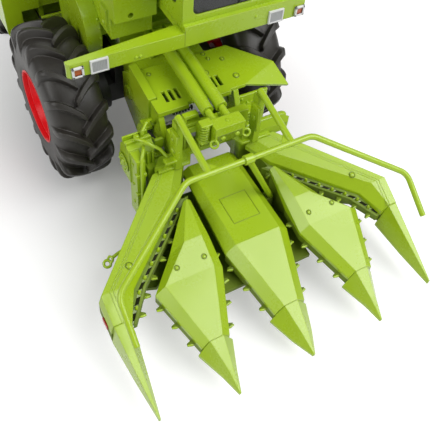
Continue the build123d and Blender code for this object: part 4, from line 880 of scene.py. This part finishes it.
def makeCamera(view):
    az, el, roll = (radians(view[key]) for key in ("azimuth", "elevation", "roll"))
    back = Vector((sin(az) * cos(el), -cos(az) * cos(el), sin(el)))
    level = Vector((cos(az), sin(az), 0))
    up = back.cross(level)
    right = cos(roll) * level + sin(roll) * up
    upright = -sin(roll) * level + cos(roll) * up
    camera = bpy.data.objects.new("photoCamera", bpy.data.cameras.new("photoCamera"))
    bpy.context.scene.collection.objects.link(camera)
    turn = Matrix((right, upright, back)).transposed().to_4x4()
    camera.matrix_world = Matrix.Translation(view["place"]) @ turn
    width, height = view["picture"]
    camera.data.sensor_fit = "HORIZONTAL"
    camera.data.sensor_width = view["sensor"]
    camera.data.lens = view["focal"] / width * view["sensor"]
    camera.data.shift_x = (width / 2 - view["centre"][0]) / width
    camera.data.shift_y = (view["centre"][1] - height / 2) / width
    camera.data.clip_start = view["near"]
    bpy.context.scene.camera = camera


makeCamera(photoView)

studio = {"floorSize": 6.0, "floorTone": 0.60, "floorRough": 0.9, "worldLight": 0.23, "white": (1, 1, 1, 1),
          "floorGlow": (0.52, 1.0), "glowReach": (0.16, 0.80),
          # painted shadow: the glow drops below the part's middle, and it is lower near the part than far
          # out
          "under": (0.14, 0.52), "underReach": (0.03, 0.085),
          "lamps": [  # name, place, aim, width, power
              ("softboxFront", (0.40, -0.50, 0.80), (0.0, -0.04, 0.02), 0.75, 9.5),
              ("softboxLeft", (-0.80, -0.15, 0.62), (0.0, -0.02, 0.03), 0.6, 4.6),
              ("softboxBack", (0.30, 0.85, 0.75), (0.0, 0.03, 0.05), 0.6, 3.0)]}


def seenBy(tree, *kinds):           # 1 for rays of these kinds
    rays = addNode(tree, "ShaderNodeLightPath").outputs
    seen = rays["Is Camera Ray"]
    for kind in kinds:
        seen = sums(tree, "MAXIMUM", seen, rays[kind])
    return seen


def makeFloor():
    bpy.ops.mesh.primitive_plane_add(size=studio["floorSize"])
    floor = bpy.context.object
    floor.name = "studioFloor"
    material, tree, shader = newMaterial("studioFloor")
    setInputs(shader, {"Base Color": (*[studio["floorTone"]] * 3, 1), "Roughness": studio["floorRough"],
                       "Specular IOR Level": 0.0, "Emission Color": studio["white"]})
    away = addNode(tree, "ShaderNodeVectorMath", operation="LENGTH")
    link(tree, objectPlace(tree), away.inputs[0])
    reach = away.outputs["Value"]
    glow = remap(tree, reach, *studio["glowReach"], *studio["floorGlow"])       # whiter further out, so the lower glow near the part paints a shade round it
    under = remap(tree, reach, *studio["underReach"], *studio["under"])         # painted shadow: still less glow below the part
    glow = sums(tree, "ADD", under, sums(tree, "SUBTRACT", glow, studio["under"][1]))
    seen = seenBy(tree, "Is Glossy Ray", "Is Transmission Ray")
    link(tree, sums(tree, "MULTIPLY", seen, glow), shader.inputs["Emission Strength"])
    floor.data.materials.append(material)


def makeWorld():
    world = bpy.data.worlds.new("studioWorld")
    bpy.context.scene.world = world
    world.use_nodes = True
    tree = world.node_tree
    shell = tree.nodes["Background"]
    seen = seenBy(tree, "Is Transmission Ray")
    link(tree, remap(tree, seen, 0.0, 1.0, studio["worldLight"], 1.0), shell.inputs["Strength"])
    setInputs(shell, {"Color": studio["white"]})


def makeLamps():
    for name, place, aim, width, power in studio["lamps"]:
        lamp = bpy.data.objects.new(name, bpy.data.lights.new(name, "AREA"))
        lamp.data.shape = "SQUARE"
        lamp.data.size = width
        lamp.data.energy = power
        lamp.location = place
        lamp.rotation_euler = (Vector(aim) - Vector(place)).to_track_quat("-Z", "Y").to_euler()
        bpy.context.scene.collection.objects.link(lamp)


makeFloor()
makeWorld()
makeLamps()
bpy.context.scene.view_settings.view_transform = "Standard"
print("camera, floor and lamps set")
